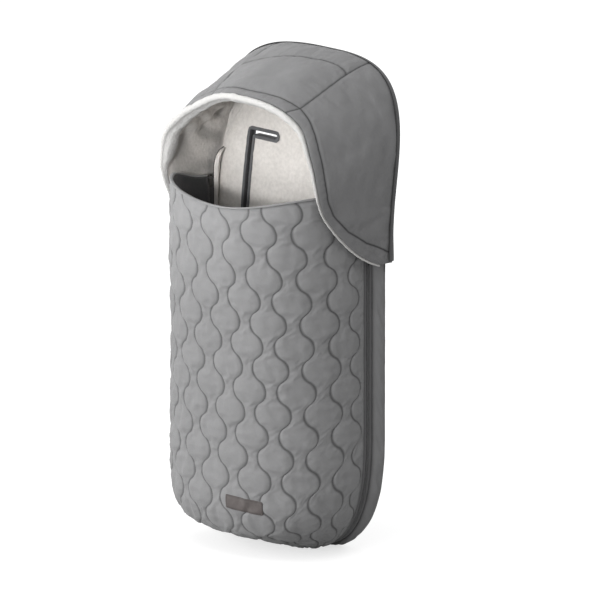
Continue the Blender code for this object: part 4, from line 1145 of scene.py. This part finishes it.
def slot_bindings():
    """Soft tape folded over the edges of each slit, front and back."""
    front = BACK_THICKNESS
    lip, high = BINDING_LIP, BINDING_THICKNESS
    profile = [(0.0, front + 0.2 * high), (0.0006, front + 0.8 * high),
               (0.0018, front + 1.15 * high), (0.0032, front + high),
               (lip - 0.0002, front + 0.5 * high), (lip, front), (BINDING_WALL, front - 0.0006),
               (BINDING_WALL, 0.0006), (lip, 0.0), (lip - 0.0002, -0.5 * high),
               (0.0032, -high), (0.0018, -1.15 * high), (0.0006, -0.8 * high),
               (0.0, -0.2 * high), (0.0, front / 2)]
    for node, name in (("slot_binding_left", "slit_tape_left"),
                       ("slot_binding_right", "slit_tape_right"),
                       ("crotch_slot_binding", "slit_tape_crotch")):
        base = round_loop(slot_loops(0.0)[node], 0.0022, LOOP_STEP)
        ahead = unit(np.roll(base, -1, axis=0) - np.roll(base, 1, axis=0))
        after = np.roll(base, -1, axis=0)
        sense = np.sign((base[:, 0] * after[:, 1] - after[:, 0] * base[:, 1]).sum())
        out = np.stack([ahead[:, 1], -ahead[:, 0]], axis=1) * sense
        rows = []
        for grow, depth in profile:
            place = base + out * grow * (1.0 if grow <= BINDING_WALL else LIP_SPREAD)
            rows.append(upright(place, back_y(place[:, 1]) - depth))
        rings = np.stack(rows, axis=1)
        travel = np.arange(len(base)) * LOOP_STEP
        uv = lay(travel, np.linspace(0, 0.03, len(profile)))
        rings[:, :, 1] += 0.0002 * ripple(travel[:, None], 0.02, 61)[:, None]
        # Painted shade in the slit and along the lip's outer edge.
        marks = np.zeros(rings.shape[:2])
        marks[:, [0, 5, 14]] = (0.55, 1.0, 1.0)
        tape = sweep(name, rings, BINDING, closed=True, uv=uv, marks=marks)
        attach(tape, "tub")
        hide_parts(node)


def gusset_round(z):
    """How far the gusset's front edge has drawn back to the panel near its rounded top."""
    near = clamp((z - GUSSET_TURN) / (GUSSET_TOP - GUSSET_TURN))
    return 1 - np.sqrt(1 - near ** 2)


def gusset():
    """Strip round the sides and foot: loose outer cloth and the fleece inside it."""
    edge = tub_edge(ZIP_HALF_WIDTH, GUSSET_TOP, EDGE_STEP)
    travel = along(edge)
    shares = np.concatenate([np.linspace(0, 1, 15), [1.04]])
    layers = []
    wide = tub_edge(BACK_HALF_WIDTH, GUSSET_TOP, EDGE_STEP)
    wide = at(np.linspace(0, 1, len(edge)), np.linspace(0, 1, len(wide)), wide)
    start_y = ZIP_BAND_HALF - 0.0004
    for share in shares:
        t = min(1.0, share)
        line = blend(edge, wide, t)
        out = edge_out(line)
        z = line[:, 1]
        y = blend(start_y, back_y(z) - BACK_THICKNESS, gusset_round(z))
        y = blend(y, back_y(z) + 0.0008, share)
        free = 1 - ease(0.44, 0.50, z)
        flat = np.stack([travel, np.full(len(travel), share * 0.03)], axis=1)
        full = sin(pi * min(1.0, t * 0.97)) ** 0.7
        swell = (0.0008 + 0.0034 * free) * full
        slant = flat @ np.array([[1.0, 0.0], [1.6, 1.0]])
        folds = (0.0009 * ripple(flat * (1.0, 1.6), 0.05, 71, 12)
                 + 0.0007 * ripple(slant, 0.022, 72, 12)) * full * (0.35 + 0.65 * free)
        tuck = 0.0010 * fade(t, 0.04) + 0.0014 * fade(1.0 - t, 0.05)
        lift = np.maximum(swell + folds, -0.0004) - tuck
        layers.append(stood_off(line, out, lift, y))
    outer = np.stack(layers, axis=1)
    thick = upright(edge_out(blend(edge, wide, 0.5)), 0.0)[:, None]
    inner = outer - thick * CLOTH_THICKNESS
    raise_to(outer, 0.0)
    raise_to(inner, 0.0012)
    uv = lay(travel, shares * 0.03)
    # Painted shade along both edges of the strip.
    marks = np.broadcast_to(fade(shares, 0.06) + fade(1.04 - shares, 0.06), outer.shape[:2])
    side = slab("gusset_outer", outer, inner, GREY_PLAIN_SHADED, uv, marks)
    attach(side, "tub")
    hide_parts("gusset_shell")

    stops = np.linspace(0, 1, 14)
    rows = []
    for share in stops:
        line = blend(edge, wide, share)
        out = edge_out(line)
        z = line[:, 1]
        y = blend(start_y, back_y(z) - BACK_THICKNESS - 0.0004, gusset_round(z))
        y = blend(y, back_y(z) - BACK_THICKNESS, share)
        flat = np.stack([travel, np.full(len(travel), share * 0.02)], axis=1)
        puff = sin(pi * min(1.0, share * 1.02)) ** 0.6 * (1 - 0.6 * gusset_round(z))
        cover = float(ease(0.0, 0.25, share))
        drop = -0.0030 - 0.0040 * cover - 0.0036 * puff + 0.0005 * cover * ripple(flat, 0.02, 73)
        rows.append(stood_off(line, out, drop, y))
    face = np.stack(rows, axis=1)
    rear = face + thick * (0.0006 + 0.0014 * ease(0.0, 0.25, stops))[None, :, None]
    uv = lay(travel, stops * 0.02)
    lining = slab("gusset_fleece", face, rear, FLEECE, uv, np.zeros(face.shape[:2]))
    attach(lining, "tub")
    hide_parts("gusset_lining")


# Hood

SHELL_STEP = 0.0017
LINING_STEP = 0.0028
CLOTH_STEP = 0.0045
SHELL_SUNK = 0.0012
CAP_TAIL = 0.031
CAP_CLOTH_THICKNESS = 0.0012


def hood_front_y(z):
    drop = clamp((HOOD_FLAP_TURN_Z - z) / (HOOD_FLAP_TURN_Z - HOOD_FLAP_CORNER_Z))
    reach = np.maximum(0.0, 1 - drop ** HOOD_FLAP_POWER) ** (1 / HOOD_FLAP_POWER)
    return HOOD_FLAP_CORNER_Y - (HOOD_FLAP_CORNER_Y - HOOD_BRIM_Y) * reach


def hood_points(side, depth):
    """Outer face of the hood. side: -1 left end, 0 crown, 1 right end; depth: 0 brim, 1 rear."""
    side, depth = np.broadcast_arrays(np.asarray(side, float), np.asarray(depth, float))
    hand = np.where(side < 0, -1.0, 1.0)
    way = np.abs(side)
    seam = blend(PANEL_SEAM_FRONT, PANEL_SEAM_REAR, depth)
    upper = seam + (way - PANEL_SEAM) / (ARCH_SHARE - PANEL_SEAM) * (ARCH_SHARE - seam)
    beyond = np.where(way <= ARCH_SHARE, upper, way)
    way = np.where(way <= PANEL_SEAM, way / PANEL_SEAM * seam, beyond)
    power = blend(HOOD_BRIM_POWER, HOOD_REAR_POWER, depth)
    power = power + HOOD_LEFT_BOX * blend(0.3, 1.0, ease(0.0, 0.4, depth)) * (side < 0)
    rise = blend(1 - (1 - depth) ** 2, depth ** 2 * (3 - 2 * depth), CROWN_EASE)
    top = blend(HOOD_BRIM_TOP, HOOD_REAR_TOP, rise)
    down = np.maximum(0.0, way - ARCH_SHARE) / (1 - ARCH_SHARE)
    angle = pi / 2 * np.minimum(1.0, way / ARCH_SHARE)
    across = np.sin(angle) ** (2 / power)
    up = np.maximum(0.0, np.cos(angle)) ** (2 / power)
    z = HOOD_SPRING_HEIGHT + (top - HOOD_SPRING_HEIGHT) * up
    across = np.where(down > 0, 1.0, across)
    z = np.where(down > 0, blend(HOOD_SPRING_HEIGHT, HOOD_FLAP_LOW, down), z)
    front = hood_front_y(z)
    y = blend(front, back_y(z) + HOOD_REAR_STAND_OFF, depth)
    reach = (y - HOOD_BRIM_Y) / (back_y(z) + HOOD_REAR_STAND_OFF - HOOD_BRIM_Y)
    half = blend(HOOD_BRIM_HALF_WIDTH, HOOD_REAR_HALF_WIDTH, reach) + HOOD_FLAP_FLARE * down
    sag = HOOD_SAG * ease(0.0, 0.20, -side) * (1 - ease(0.32, 0.60, -side))
    push = HOOD_REACH * ease(0.26, 0.50, side) * (1 - ease(0.60, 0.86, side))
    z = z - sag * (1 - depth) ** 1.3
    dip = ease(0.10, 0.45, depth) * (1 - 0.7 * ease(0.75, 1.0, depth))
    z = z - HOOD_TOP_SAG * dip * (1 - ease(-0.12, 0.06, side)) * (1 - ease(0.18, 0.42, -side))
    y = y - push * (1 - depth) ** 2
    return np.stack([hand * half * across, y, z], axis=-1)


def hood_out(side, depth):
    """Outward directions of the hood's outer face."""
    near = 0.004
    low = np.clip(side, -1 + near, 1 - near)
    mid = np.clip(depth, near, 1 - near)
    low, mid = np.broadcast_arrays(low, mid)
    sideways = hood_points(low + near, mid) - hood_points(low - near, mid)
    rearward = hood_points(low, mid + near) - hood_points(low, mid - near)
    way = unit(np.cross(rearward, sideways))
    away = hood_points(side, depth) - np.array([0.0, 0.0, HOOD_SPRING_HEIGHT])
    return way * np.sign((way * away).sum(axis=-1, keepdims=True))


def hood_share(z):
    """0 at the thin flaps, 1 where the hood is thick."""
    return clamp((z - HOOD_THIN_BELOW) / (HOOD_THICK_ABOVE - HOOD_THIN_BELOW))


def hood_thickness(z):
    return blend(HOOD_FLAP_THICKNESS, HOOD_THICKNESS, hood_share(z))


def even_sides(step, low, high, depth=0.4):
    """Stops across the hood from low to high, spread evenly over its curve."""
    fine = np.linspace(low, high, 900)
    travel = along(hood_points(fine, depth))
    stops = np.linspace(0, travel[-1], max(3, round(travel[-1] / step) + 1))
    return np.interp(stops, travel, fine)


def band_depth(side):
    return np.interp(np.abs(side), *zip(*BAND_SEAM))


def hood_columns(step):
    """Share of the way to the band's seam, then, from 1 to 2, of the way on to the rear."""
    front = np.linspace(0, 1, round(0.022 / step) + 1)
    return np.concatenate([front, 1 + np.linspace(0, 1, round(0.140 / step) + 1)[1:]])


def hood_stops(step):
    """Grid over the hood whose columns follow the band's seam."""
    right = np.concatenate([even_sides(step, 0.0, PANEL_SEAM),
                            even_sides(step, PANEL_SEAM, 1.0)[1:]])
    sides = np.concatenate([-right[:0:-1], right])
    band = np.minimum(band_depth(sides), 0.20)[:, None]
    column = hood_columns(step)[None, :]
    depths = np.where(column <= 1, band * column, blend(band, 1.0, column - 1))
    return np.broadcast_to(sides[:, None], depths.shape), depths


def seam_lines():
    """Sewn lines over the hood: band, panels, cross seam and band joins."""
    sides = np.linspace(-0.952, 0.952, 900)
    paths = [(sides, band_depth(sides))]
    for hand in (-1, 1):
        start = LEFT_SEAM[0][1] if hand < 0 else PANEL_SEAM
        rear = np.linspace(band_depth(start), 1, 200)
        front = np.linspace(0, band_depth(start), 40)
        line = np.interp(rear, *zip(*LEFT_SEAM)) if hand < 0 else np.full(200, PANEL_SEAM)
        paths.append((hand * line, rear))
        paths.append((hand * blend(start, start - 0.022, 1 - front / front[-1]), front))
    inner = np.linspace(-0.218, PANEL_SEAM, 200)
    paths.append((inner, np.interp(inner, *zip(*CROWN_SEAM))))
    return [hood_points(side, depth) for side, depth in paths]


def distance_to(points, paths):
    """Distance from each grid point to the nearest point of any path."""
    return nearest(points, np.concatenate([evenly(path, 0.001) for path in paths]))


def hood_cloth(step, side, lift, seams, pressure, slack, cap, inward=False):
    """Simulated movement of one of the hood's layers, at the stops of a finer grid."""
    wide, depth = hood_stops(CLOTH_STEP)
    points = hood_points(wide, depth)
    out = hood_out(wide, depth)
    held = np.zeros(wide.shape, bool)
    held[0] = held[-1] = True
    held[:, 0] = held[:, -1] = True
    if seams:
        held |= distance_to(points, seam_lines()) < 0.0023
    start = points + out * np.asarray(lift(points[..., 2]))[..., None]
    move = settle(start, -out if inward else out, held, pressure, slack, cap)
    return resample(move, wide[:, 0], hood_columns(CLOTH_STEP), side[:, 0], hood_columns(step))


def hood_layer(step):
    """Grid over the hood, with each point's outward way and distance from front and rear edge."""
    side, depth = hood_stops(step)
    points = hood_points(side, depth)
    return (side, depth, points, hood_out(side, depth), distance_to(points, [points[:, 0]]),
            distance_to(points, [points[:, -1]]))


def hood_shell():
    """Outer cloth of the hood with its wadding, drawn in along the sewn lines."""
    side, depth, points, out, to_front, to_rear = hood_layer(SHELL_STEP)
    near = distance_to(points, seam_lines())
    middle_row, middle_column = side.shape[0] // 2, side.shape[1] // 2
    flat = lay(along(points[:, middle_column]), along(points[middle_row]))
    to_low = distance_to(points, [points[0], points[-1]])
    swell = 0.68 * (1 - fade(near, 0.0080)) + 0.32 * (1 - fade(near, 0.0012))
    puff = np.where(depth < band_depth(side), 0.0050, 0.0052) * swell
    drift = np.zeros(points.shape)
    blown = hood_cloth(SHELL_STEP, side, lambda z: -SHELL_SUNK, seams=True, pressure=4.0,
                       slack=0.03, cap=0.009)
    if blown is not None:
        up = (blown * out).sum(axis=-1)
        drift = (blown - out * up[..., None]) * (1 - fade(near, 0.004))[..., None]
        puff = 0.45 * puff + 0.0030 * np.minimum(up / np.percentile(up, 85), 1.4)
    puff = puff * (1 - 0.75 * fade(to_front, 0.004)) * (1 - 0.9 * fade(to_rear, 0.008))
    puff = puff * (1 - 0.85 * fade(to_low, 0.006))
    pucker = ripple(flat, 0.013, 81, 14) + 0.5 * ripple(flat, 0.007, 86, 14)
    pucker = pucker * fade(near, 0.010) * (1 - fade(near, 0.0015))
    lean = points[..., 1] + 0.18 * (points[..., 2] - 0.6)
    drape = np.sin(2 * pi * (lean / 0.052 + 0.22 * ripple(points, 0.20, 82)))
    drape = drape * ease(0.0, 0.06, points[..., 1]) * ease(0.26, 0.5, np.abs(side))
    soft = (1 - fade(near, 0.014)) * (1 - fade(to_rear, 0.008))
    slack = ripple(flat * (1.0, 1.4), 0.085, 83) + 0.5 * ripple(flat, 0.034, 84)
    height = -SHELL_SUNK + puff + 0.00042 * pucker + 0.0009 * slack * soft + 0.0011 * drape * soft
    height = height - 0.0012 * fade(to_rear, 0.0022) - 0.0006 * fade(to_front, 0.0015)
    free = (1 - fade(to_front, 0.004)) * (1 - fade(to_rear, 0.004))
    outer = points + out * height[..., None] + drift * free[..., None]
    inner = points - out * (hood_thickness(points[..., 2]) - 0.0032)[..., None]
    inner[:, -1, 1] = back_y(inner[:, -1, 2]) + HOOD_REAR_STAND_OFF
    # Painted shade along the sewn lines and the rear edge.
    seam = np.maximum(np.exp(-(near / 0.0016) ** 2), 0.9 * fade(to_rear, 0.0015))
    shell = slab("hood_outer", outer, inner, GREY_PLAIN_SHADED, flat, seam)
    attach(shell, "hood")
    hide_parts("hood_band_left", "hood_band_top", "hood_band_right", "hood_side_left",
                "hood_side_right", "hood_front_panel", "hood_crown_panel", "hood_padding")


def hood_fleece():
    """Fleece lining of the hood, loose enough to fold at the sides."""
    side, _, points, out, to_front, to_rear = hood_layer(LINING_STEP)
    z = points[..., 2]
    thick = hood_thickness(z)
    free = (1 - np.exp(-(to_front / 0.020) ** 2)) * (1 - fade(to_rear, 0.008))
    flank = ease(0.22, 0.38, np.abs(side)) * (1 - ease(0.72, 0.80, np.abs(side)))
    swing = points[..., 1] * 0.66 + points[..., 2] * 0.75
    fold = np.sin(2 * pi * (swing / 0.044 + 0.65 * ripple(points, 0.11, 92, 7)))
    fold = (0.5 + 0.5 * fold) ** 1.3
    loose = 0.0105 * fold * flank + 0.0012 * ripple(points, 0.05, 93)
    blown = hood_cloth(LINING_STEP, side, lambda z: -hood_thickness(z), seams=False, pressure=2.0,
                       slack=0.09, cap=0.014, inward=True)
    if blown is not None:
        inwards = np.maximum(0.0, -(blown * out).sum(axis=-1))
        loose = 0.55 * loose + 0.9 * np.minimum(inwards, 0.012) * ease(0.12, 0.3, np.abs(side))
    plush = 0.0005 * ripple(points, 0.014, 94, 14) + 0.0003 * ripple(points, 0.006, 95, 14)
    room = 0.04 + 0.96 * ease(0.61, 0.69, z)
    inner = points - out * (thick + (loose + plush) * free * room)[..., None]
    outer = points - out * (thick - 0.0029)[..., None]
    for grid in (inner, outer):
        grid[:, -1, 1] = back_y(grid[:, -1, 2]) + HOOD_REAR_STAND_OFF
    # Painted shade in the valleys of the folds.
    painted_valley_shade = clamp(1.0 - loose / 0.0050) ** 2 * flank * free
    curtain = cap_curtain(side[:, 0])
    inner = np.concatenate([inner, inner[:, -1:] * (1 - curtain[1]) + curtain[0] * curtain[1]], 1)
    outer = np.concatenate([outer, inner[:, -1:] + (0.0, 0.0010, 0.0)], axis=1)
    painted_valley_shade = np.concatenate([painted_valley_shade, painted_valley_shade[:, -1:]], axis=1)
    flat = lay(*(LINING_STEP * np.arange(1, count + 1) for count in painted_valley_shade.shape))
    lining = slab("hood_pile_lining", inner, outer, FLEECE, flat, painted_valley_shade)
    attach(lining, "hood")
    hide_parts("hood_lining")


def cap_curtain(side):
    """Where the lining's rear hem reaches inwards across the cap band, and how far it does."""
    edge = hood_points(side, 1.0)
    above = edge[:, 2] - HOOD_SPRING_HEIGHT
    angle = np.arctan2(above, edge[:, 0])
    high = clamp(above / 0.05)
    arch = (BACK_EDGE_TOP + 0.0015 - HOOD_SPRING_HEIGHT) * np.abs(np.sin(angle)) ** 0.6
    z = np.minimum(edge[:, 2] - 0.030, HOOD_SPRING_HEIGHT + arch)
    z = np.maximum(z, HOOD_SPRING_HEIGHT)
    half = tub_half(np.minimum(z, BACK_EDGE_TOP), BACK_HALF_WIDTH) + 0.0015
    x = np.sign(edge[:, 0]) * np.minimum(np.abs(edge[:, 0]) - 0.006, half)
    place = np.stack([x, back_y(z) + 0.0012, z], axis=-1)
    return place[:, None], ease(0.15, 0.6, high)[:, None, None]


def fleece_rim():
    """White fleece turned over the hood's front edge and rolled inwards."""
    fine = np.linspace(-1, 1, 1200)
    travel = along(hood_points(fine, 0.0))
    stops = np.linspace(0, travel[-1], round(travel[-1] / 0.003) + 1)
    side = np.interp(stops, travel, fine)
    border = hood_points(side, 0.0)
    out = hood_out(side, 0.0)
    sideways = unit(np.gradient(border, axis=0))
    ahead = unit(np.cross(sideways, out))
    inside = hood_points(side, 0.05)
    ahead = ahead * np.sign(((border - inside) * ahead).sum(axis=1, keepdims=True))
    z = border[:, 2]
    left = ease(0.05, 0.30, -side) * (1 - ease(0.62, 0.75, -side))
    right = ease(0.20, 0.45, side)
    radius = blend(RIM_FLAP_RADIUS, RIM_RADIUS, hood_share(z)) * (1 + 0.10 * left - 0.36 * right)
    half = hood_thickness(z) / 2
    room = ease(0.585, 0.64, z)
    lump = (1 + 0.07 * ripple(stops[:, None], 0.03, 101)
            + 0.05 * ripple(stops[:, None], 0.011, 102))
    tie = np.exp(-((stops[:, None] - np.arange(0.01, stops[-1], 0.024)[None, :]) / 0.0011) ** 2)
    pinch = 1 - 0.16 * tie.max(axis=1) * room
    turns = np.linspace(pi / 2, -pi / 2, 9)
    centre = border - out * half[:, None]
    roll = [centre + (ahead * (np.cos(a) * radius * lump * pinch + radius + 2 * GAP)[:, None]
                      + out * (np.sin(a) * radius * lump * pinch)[:, None]) for a in turns]
    reach = blend(0.004, 0.017, room) * (1 + 0.40 * left - 0.40 * right)
    thick = blend(0.0012, 0.0054, room) * lump * pinch * (1 + 0.75 * left - 0.40 * right)
    inner = [(0.22, 0.78), (-0.05, 1.12), (-0.35, 1.2), (-0.65, 1.1), (-0.90, 0.75),
             (-1.0, 0.2), (-0.5, 0.05), (0.0, 0.05)]
    strip = [centre + ahead * (a * reach)[:, None] - out * (half + b * thick)[:, None]
             for a, b in inner]
    back = [centre + ahead * 2 * GAP + out * (h * radius)[:, None] for h in (-0.4, 0.4)]
    rings = np.stack(roll + strip + back, axis=1)
    uv = lay(stops, np.linspace(0, 0.06, rings.shape[1]))
    plush = 0.00030 * ripple(rings.reshape(-1, 3), 0.008, 103, 14).reshape(rings.shape[:2])
    rings = rings + ahead[:, None] * plush[..., None]
    rim = sweep("hood_rim_roll", rings, WHITE_FLEECE, uv=uv, marks=np.zeros(rings.shape[:2]))
    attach(rim, "hood")
    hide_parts("hood_fleece_rim")


def cap_points(side, inward):
    """Points in the plane behind the back, drawn inwards from the hood's rear edge."""
    edge = hood_points(side, 1.0)
    x = edge[..., 0] * (1 - inward / HOOD_REAR_HALF_WIDTH)
    high = edge[..., 2] - HOOD_SPRING_HEIGHT
    z = np.where(edge[..., 2] > HOOD_SPRING_HEIGHT,
                 HOOD_SPRING_HEIGHT + high * (1 - inward / (HOOD_REAR_TOP - HOOD_SPRING_HEIGHT)),
                 edge[..., 2])
    return np.stack([x, back_y(z), z], axis=-1)


def cap_band():
    """Band that slips over the back's top, gathered by an elastic along its inner edge."""
    sides = even_sides(0.003, -1.0, 1.0, 1.0)
    sides = sides[hood_points(sides, 1.0)[:, 2] >= CAP_BAND_LOW - CAP_TAIL]
    turn = evenly(CAP_PROFILE, 0.0016)
    steps = along(turn) / along(turn)[-1]
    side, share = np.meshgrid(sides, steps, indexing="ij")
    inward, behind = (np.broadcast_to(column, share.shape) for column in turn.T)
    border = blend(0.4, 1.0, ease(0.10, 0.40, np.abs(side)))
    behind = np.where(behind < 0, behind * border, behind)
    tail = ease(-0.030, 0.002, hood_points(side, 1.0)[..., 2] - CAP_BAND_LOW)
    inward = np.where(inward < 0, inward * border, inward * blend(0.10, 1.0, tail))
    place = cap_points(side, inward)
    travel = along(place[:, 0])
    flat = lay(travel, along(turn))
    gather = 0.0016 * ripple(flat * (1.0, 0.25), 0.012, 111, 12) * ease(0.25, 0.95, share)
    lift = HOOD_REAR_STAND_OFF + GAP + CAP_BAND_THICKNESS * 0.5
    low = ease(-0.030, 0.030, place[..., 2] - CAP_BAND_LOW)
    shift = np.where(share < 0.12, behind, blend(HOOD_REAR_STAND_OFF + 0.0016, behind, low))
    shift = shift + gather * low
    outer = place + shift[..., None] * (0.0, 1.0, 0.0)
    way = unit(np.gradient(outer, axis=1))
    across = unit(np.cross(way, np.gradient(outer, axis=0)))
    across = across * np.sign((across[..., 1] * (share > 0.5)).sum())
    inner = outer - across * CAP_CLOTH_THICKNESS
    # Painted shade along both edges of the band.
    marks = fade(share, 0.02) + fade(1 - share, 0.03)
    band = slab("hood_cap_gathered", outer, inner, CAP, flat, marks)
    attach(band, "hood")
    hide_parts("hood_cap_band")
    held = hood_points(sides, 1.0)[:, 2] >= CAP_BAND_LOW
    path = cap_points(sides[held], CAP_BAND_WIDTH + ELASTIC_RADIUS + 3 * GAP) + (0.0, lift, 0.0)
    beads = ELASTIC_RADIUS * (1 + 0.10 * np.cos(2 * pi * travel[held] / 0.006))
    cord = round_tube("hood_cap_edge", path, beads, CAP, sides=10)
    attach(cord, "hood")
    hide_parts("hood_cap_elastic")


WORN_EDGE = 0.00025


def hardware():
    """Zip fittings and snaps: the solids themselves in metal, with a worn edge."""
    for name, node in frame["nodes"].items():
        if name.startswith(("zip_stop", "zip_slider", "zip_pull", "hood_snap")):
            node.data.materials.clear()
            node.data.materials.append(METAL)
            edge = node.modifiers.new("worn edge", "BEVEL")
            edge.width = WORN_EDGE
            edge.segments = 2
            edge.limit_method = "ANGLE"
            edge.angle_limit = radians(40)


# Room, light and camera

WHITE = (1, 1, 1, 1)
FLOOR_COLOUR = (0.45, 0.45, 0.45, 1)
FLOOR_GLOW = 0.68
FLOOR_GAP = 0.0004
SKY_STRENGTH = 0.60
LAMP_SIZE = 2.6
VIEW_AZIMUTH = 45
VIEW_ELEVATION = 13.8
VIEW_DISTANCE = 30.0
VIEW_AIM = (0.0132, 0.0132, 0.398)
VIEW_LENS = 1107.0


def stage():
    """Pale floor that takes the shadow, and glows to the camera alone until it is white."""
    mesh = bpy.data.meshes.new("floor")
    mesh.from_pydata([(-6, -6, 0), (6, -6, 0), (6, 6, 0), (-6, 6, 0)], [], [(0, 1, 2, 3)])
    floor = show("floor", mesh)
    floor.location.z = -FLOOR_GAP
    finish = Finish("pale_floor", 0.9, 0.0)
    finish.set(Base_Color=FLOOR_COLOUR)
    seen = finish.add("LightPath").outputs["Is Camera Ray"]
    glow = finish.add("Emission", Color=WHITE, Strength=finish.math("MULTIPLY", seen, FLOOR_GLOW))
    nodes = finish.tree.nodes
    both = finish.add("AddShader", nodes["Principled BSDF"].outputs[0], glow.outputs[0])
    feed(finish.tree, nodes["Material Output"], both.outputs[0])
    mesh.materials.append(finish.material)
    keep_below(floor, bpy.data.objects["cover_quilt"])


def keep_below(floor, piece):
    """Let the floor give way where the folded cover hangs lower than the foot."""
    tree = bpy.data.node_groups.new("floor_level", "GeometryNodeTree")
    tree.interface.new_socket("Geometry", in_out="INPUT", socket_type="NodeSocketGeometry")
    tree.interface.new_socket("Geometry", in_out="OUTPUT", socket_type="NodeSocketGeometry")
    shape = feed(tree, tree.nodes.new("GeometryNodeObjectInfo"), Object=piece)
    shape.transform_space = "RELATIVE"
    box = feed(tree, tree.nodes.new("GeometryNodeBoundBox"), Geometry=shape.outputs["Geometry"])
    corner = feed(tree, tree.nodes.new("ShaderNodeSeparateXYZ"), box.outputs["Min"])
    lowest = math_node(tree, "MINIMUM", corner.outputs["Z"], 0.0)
    drop = feed(tree, tree.nodes.new("ShaderNodeCombineXYZ"), Z=lowest)
    move = feed(tree, tree.nodes.new("GeometryNodeTransform"), Translation=drop.outputs[0],
                Geometry=tree.nodes.new("NodeGroupInput").outputs[0])
    feed(tree, tree.nodes.new("NodeGroupOutput"), move.outputs[0])
    level = floor.modifiers.new("level", "NODES")
    level.node_group = tree


def world():
    """White where it is seen, mirrored or looked through; a weaker light on everything else."""
    sky = bpy.data.worlds.new("studio")
    bpy.context.scene.world = sky
    sky.use_nodes = True
    tree = sky.node_tree
    plain = feed(tree, tree.nodes["Background"], Color=WHITE, Strength=SKY_STRENGTH)
    white = feed(tree, tree.nodes.new("ShaderNodeBackground"), Color=WHITE, Strength=1.0)
    path = tree.nodes.new("ShaderNodeLightPath").outputs
    seen = math_node(tree, "MAXIMUM", path["Is Camera Ray"], path["Is Glossy Ray"])
    seen = math_node(tree, "MAXIMUM", seen, path["Is Transmission Ray"])
    mix = feed(tree, tree.nodes.new("ShaderNodeMixShader"), seen, plain.outputs[0],
               white.outputs[0])
    feed(tree, tree.nodes["World Output"], mix.outputs[0])


def aimed(name, data, position, aim, **settings):
    """A lamp or camera that looks at a point."""
    for key, value in settings.items():
        setattr(data, key, value)
    thing = show(name, data)
    thing.location = position
    thing.rotation_euler = (Vector(aim) - Vector(position)).to_track_quat("-Z", "Y").to_euler()
    return thing


def lights():
    for name, position, height, power in (("key", (-2.7, -2.9, 1.3), 0.40, 112.0),
                                          ("fill", (0.3, -4.2, 1.4), 0.40, 96.0),
                                          ("top", (0.7, -0.9, 3.6), 0.60, 34.0),
                                          ("behind", (-0.9, 4.0, 1.7), 0.40, 75.0)):
        aimed(name, bpy.data.lights.new(name, "AREA"), position, (0.0, 0.0, height),
              size=LAMP_SIZE, energy=power)
    aimed("inside", bpy.data.lights.new("inside", "SPOT"), (0.95, -2.2, 1.1),
          (-0.22, -0.06 + SHIFT, 0.690), spot_size=radians(7.0), spot_blend=1.0,
          shadow_soft_size=0.25, energy=720.0)


def camera():
    azimuth, elevation = radians(VIEW_AZIMUTH), radians(VIEW_ELEVATION)
    aim = Vector((VIEW_AIM[0], VIEW_AIM[1] + SHIFT, VIEW_AIM[2]))
    back = Vector((sin(azimuth) * cos(elevation), -cos(azimuth) * cos(elevation), sin(elevation)))
    bpy.context.scene.camera = aimed(
        "camera", bpy.data.cameras.new("camera"), aim + back * VIEW_DISTANCE, aim,
        lens=VIEW_LENS, sensor_width=36.0, clip_end=200.0)
    bpy.context.scene.view_settings.view_transform = "Standard"


quilt = quilted_cover()
cover_lining()
neck_hem()
label(quilt)
zip_band()
back_panel()
slot_bindings()
gusset()
hood_shell()
hood_fleece()
fleece_rim()
cap_band()
hardware()
stage()
world()
lights()
camera()

bpy.context.view_layer.update()
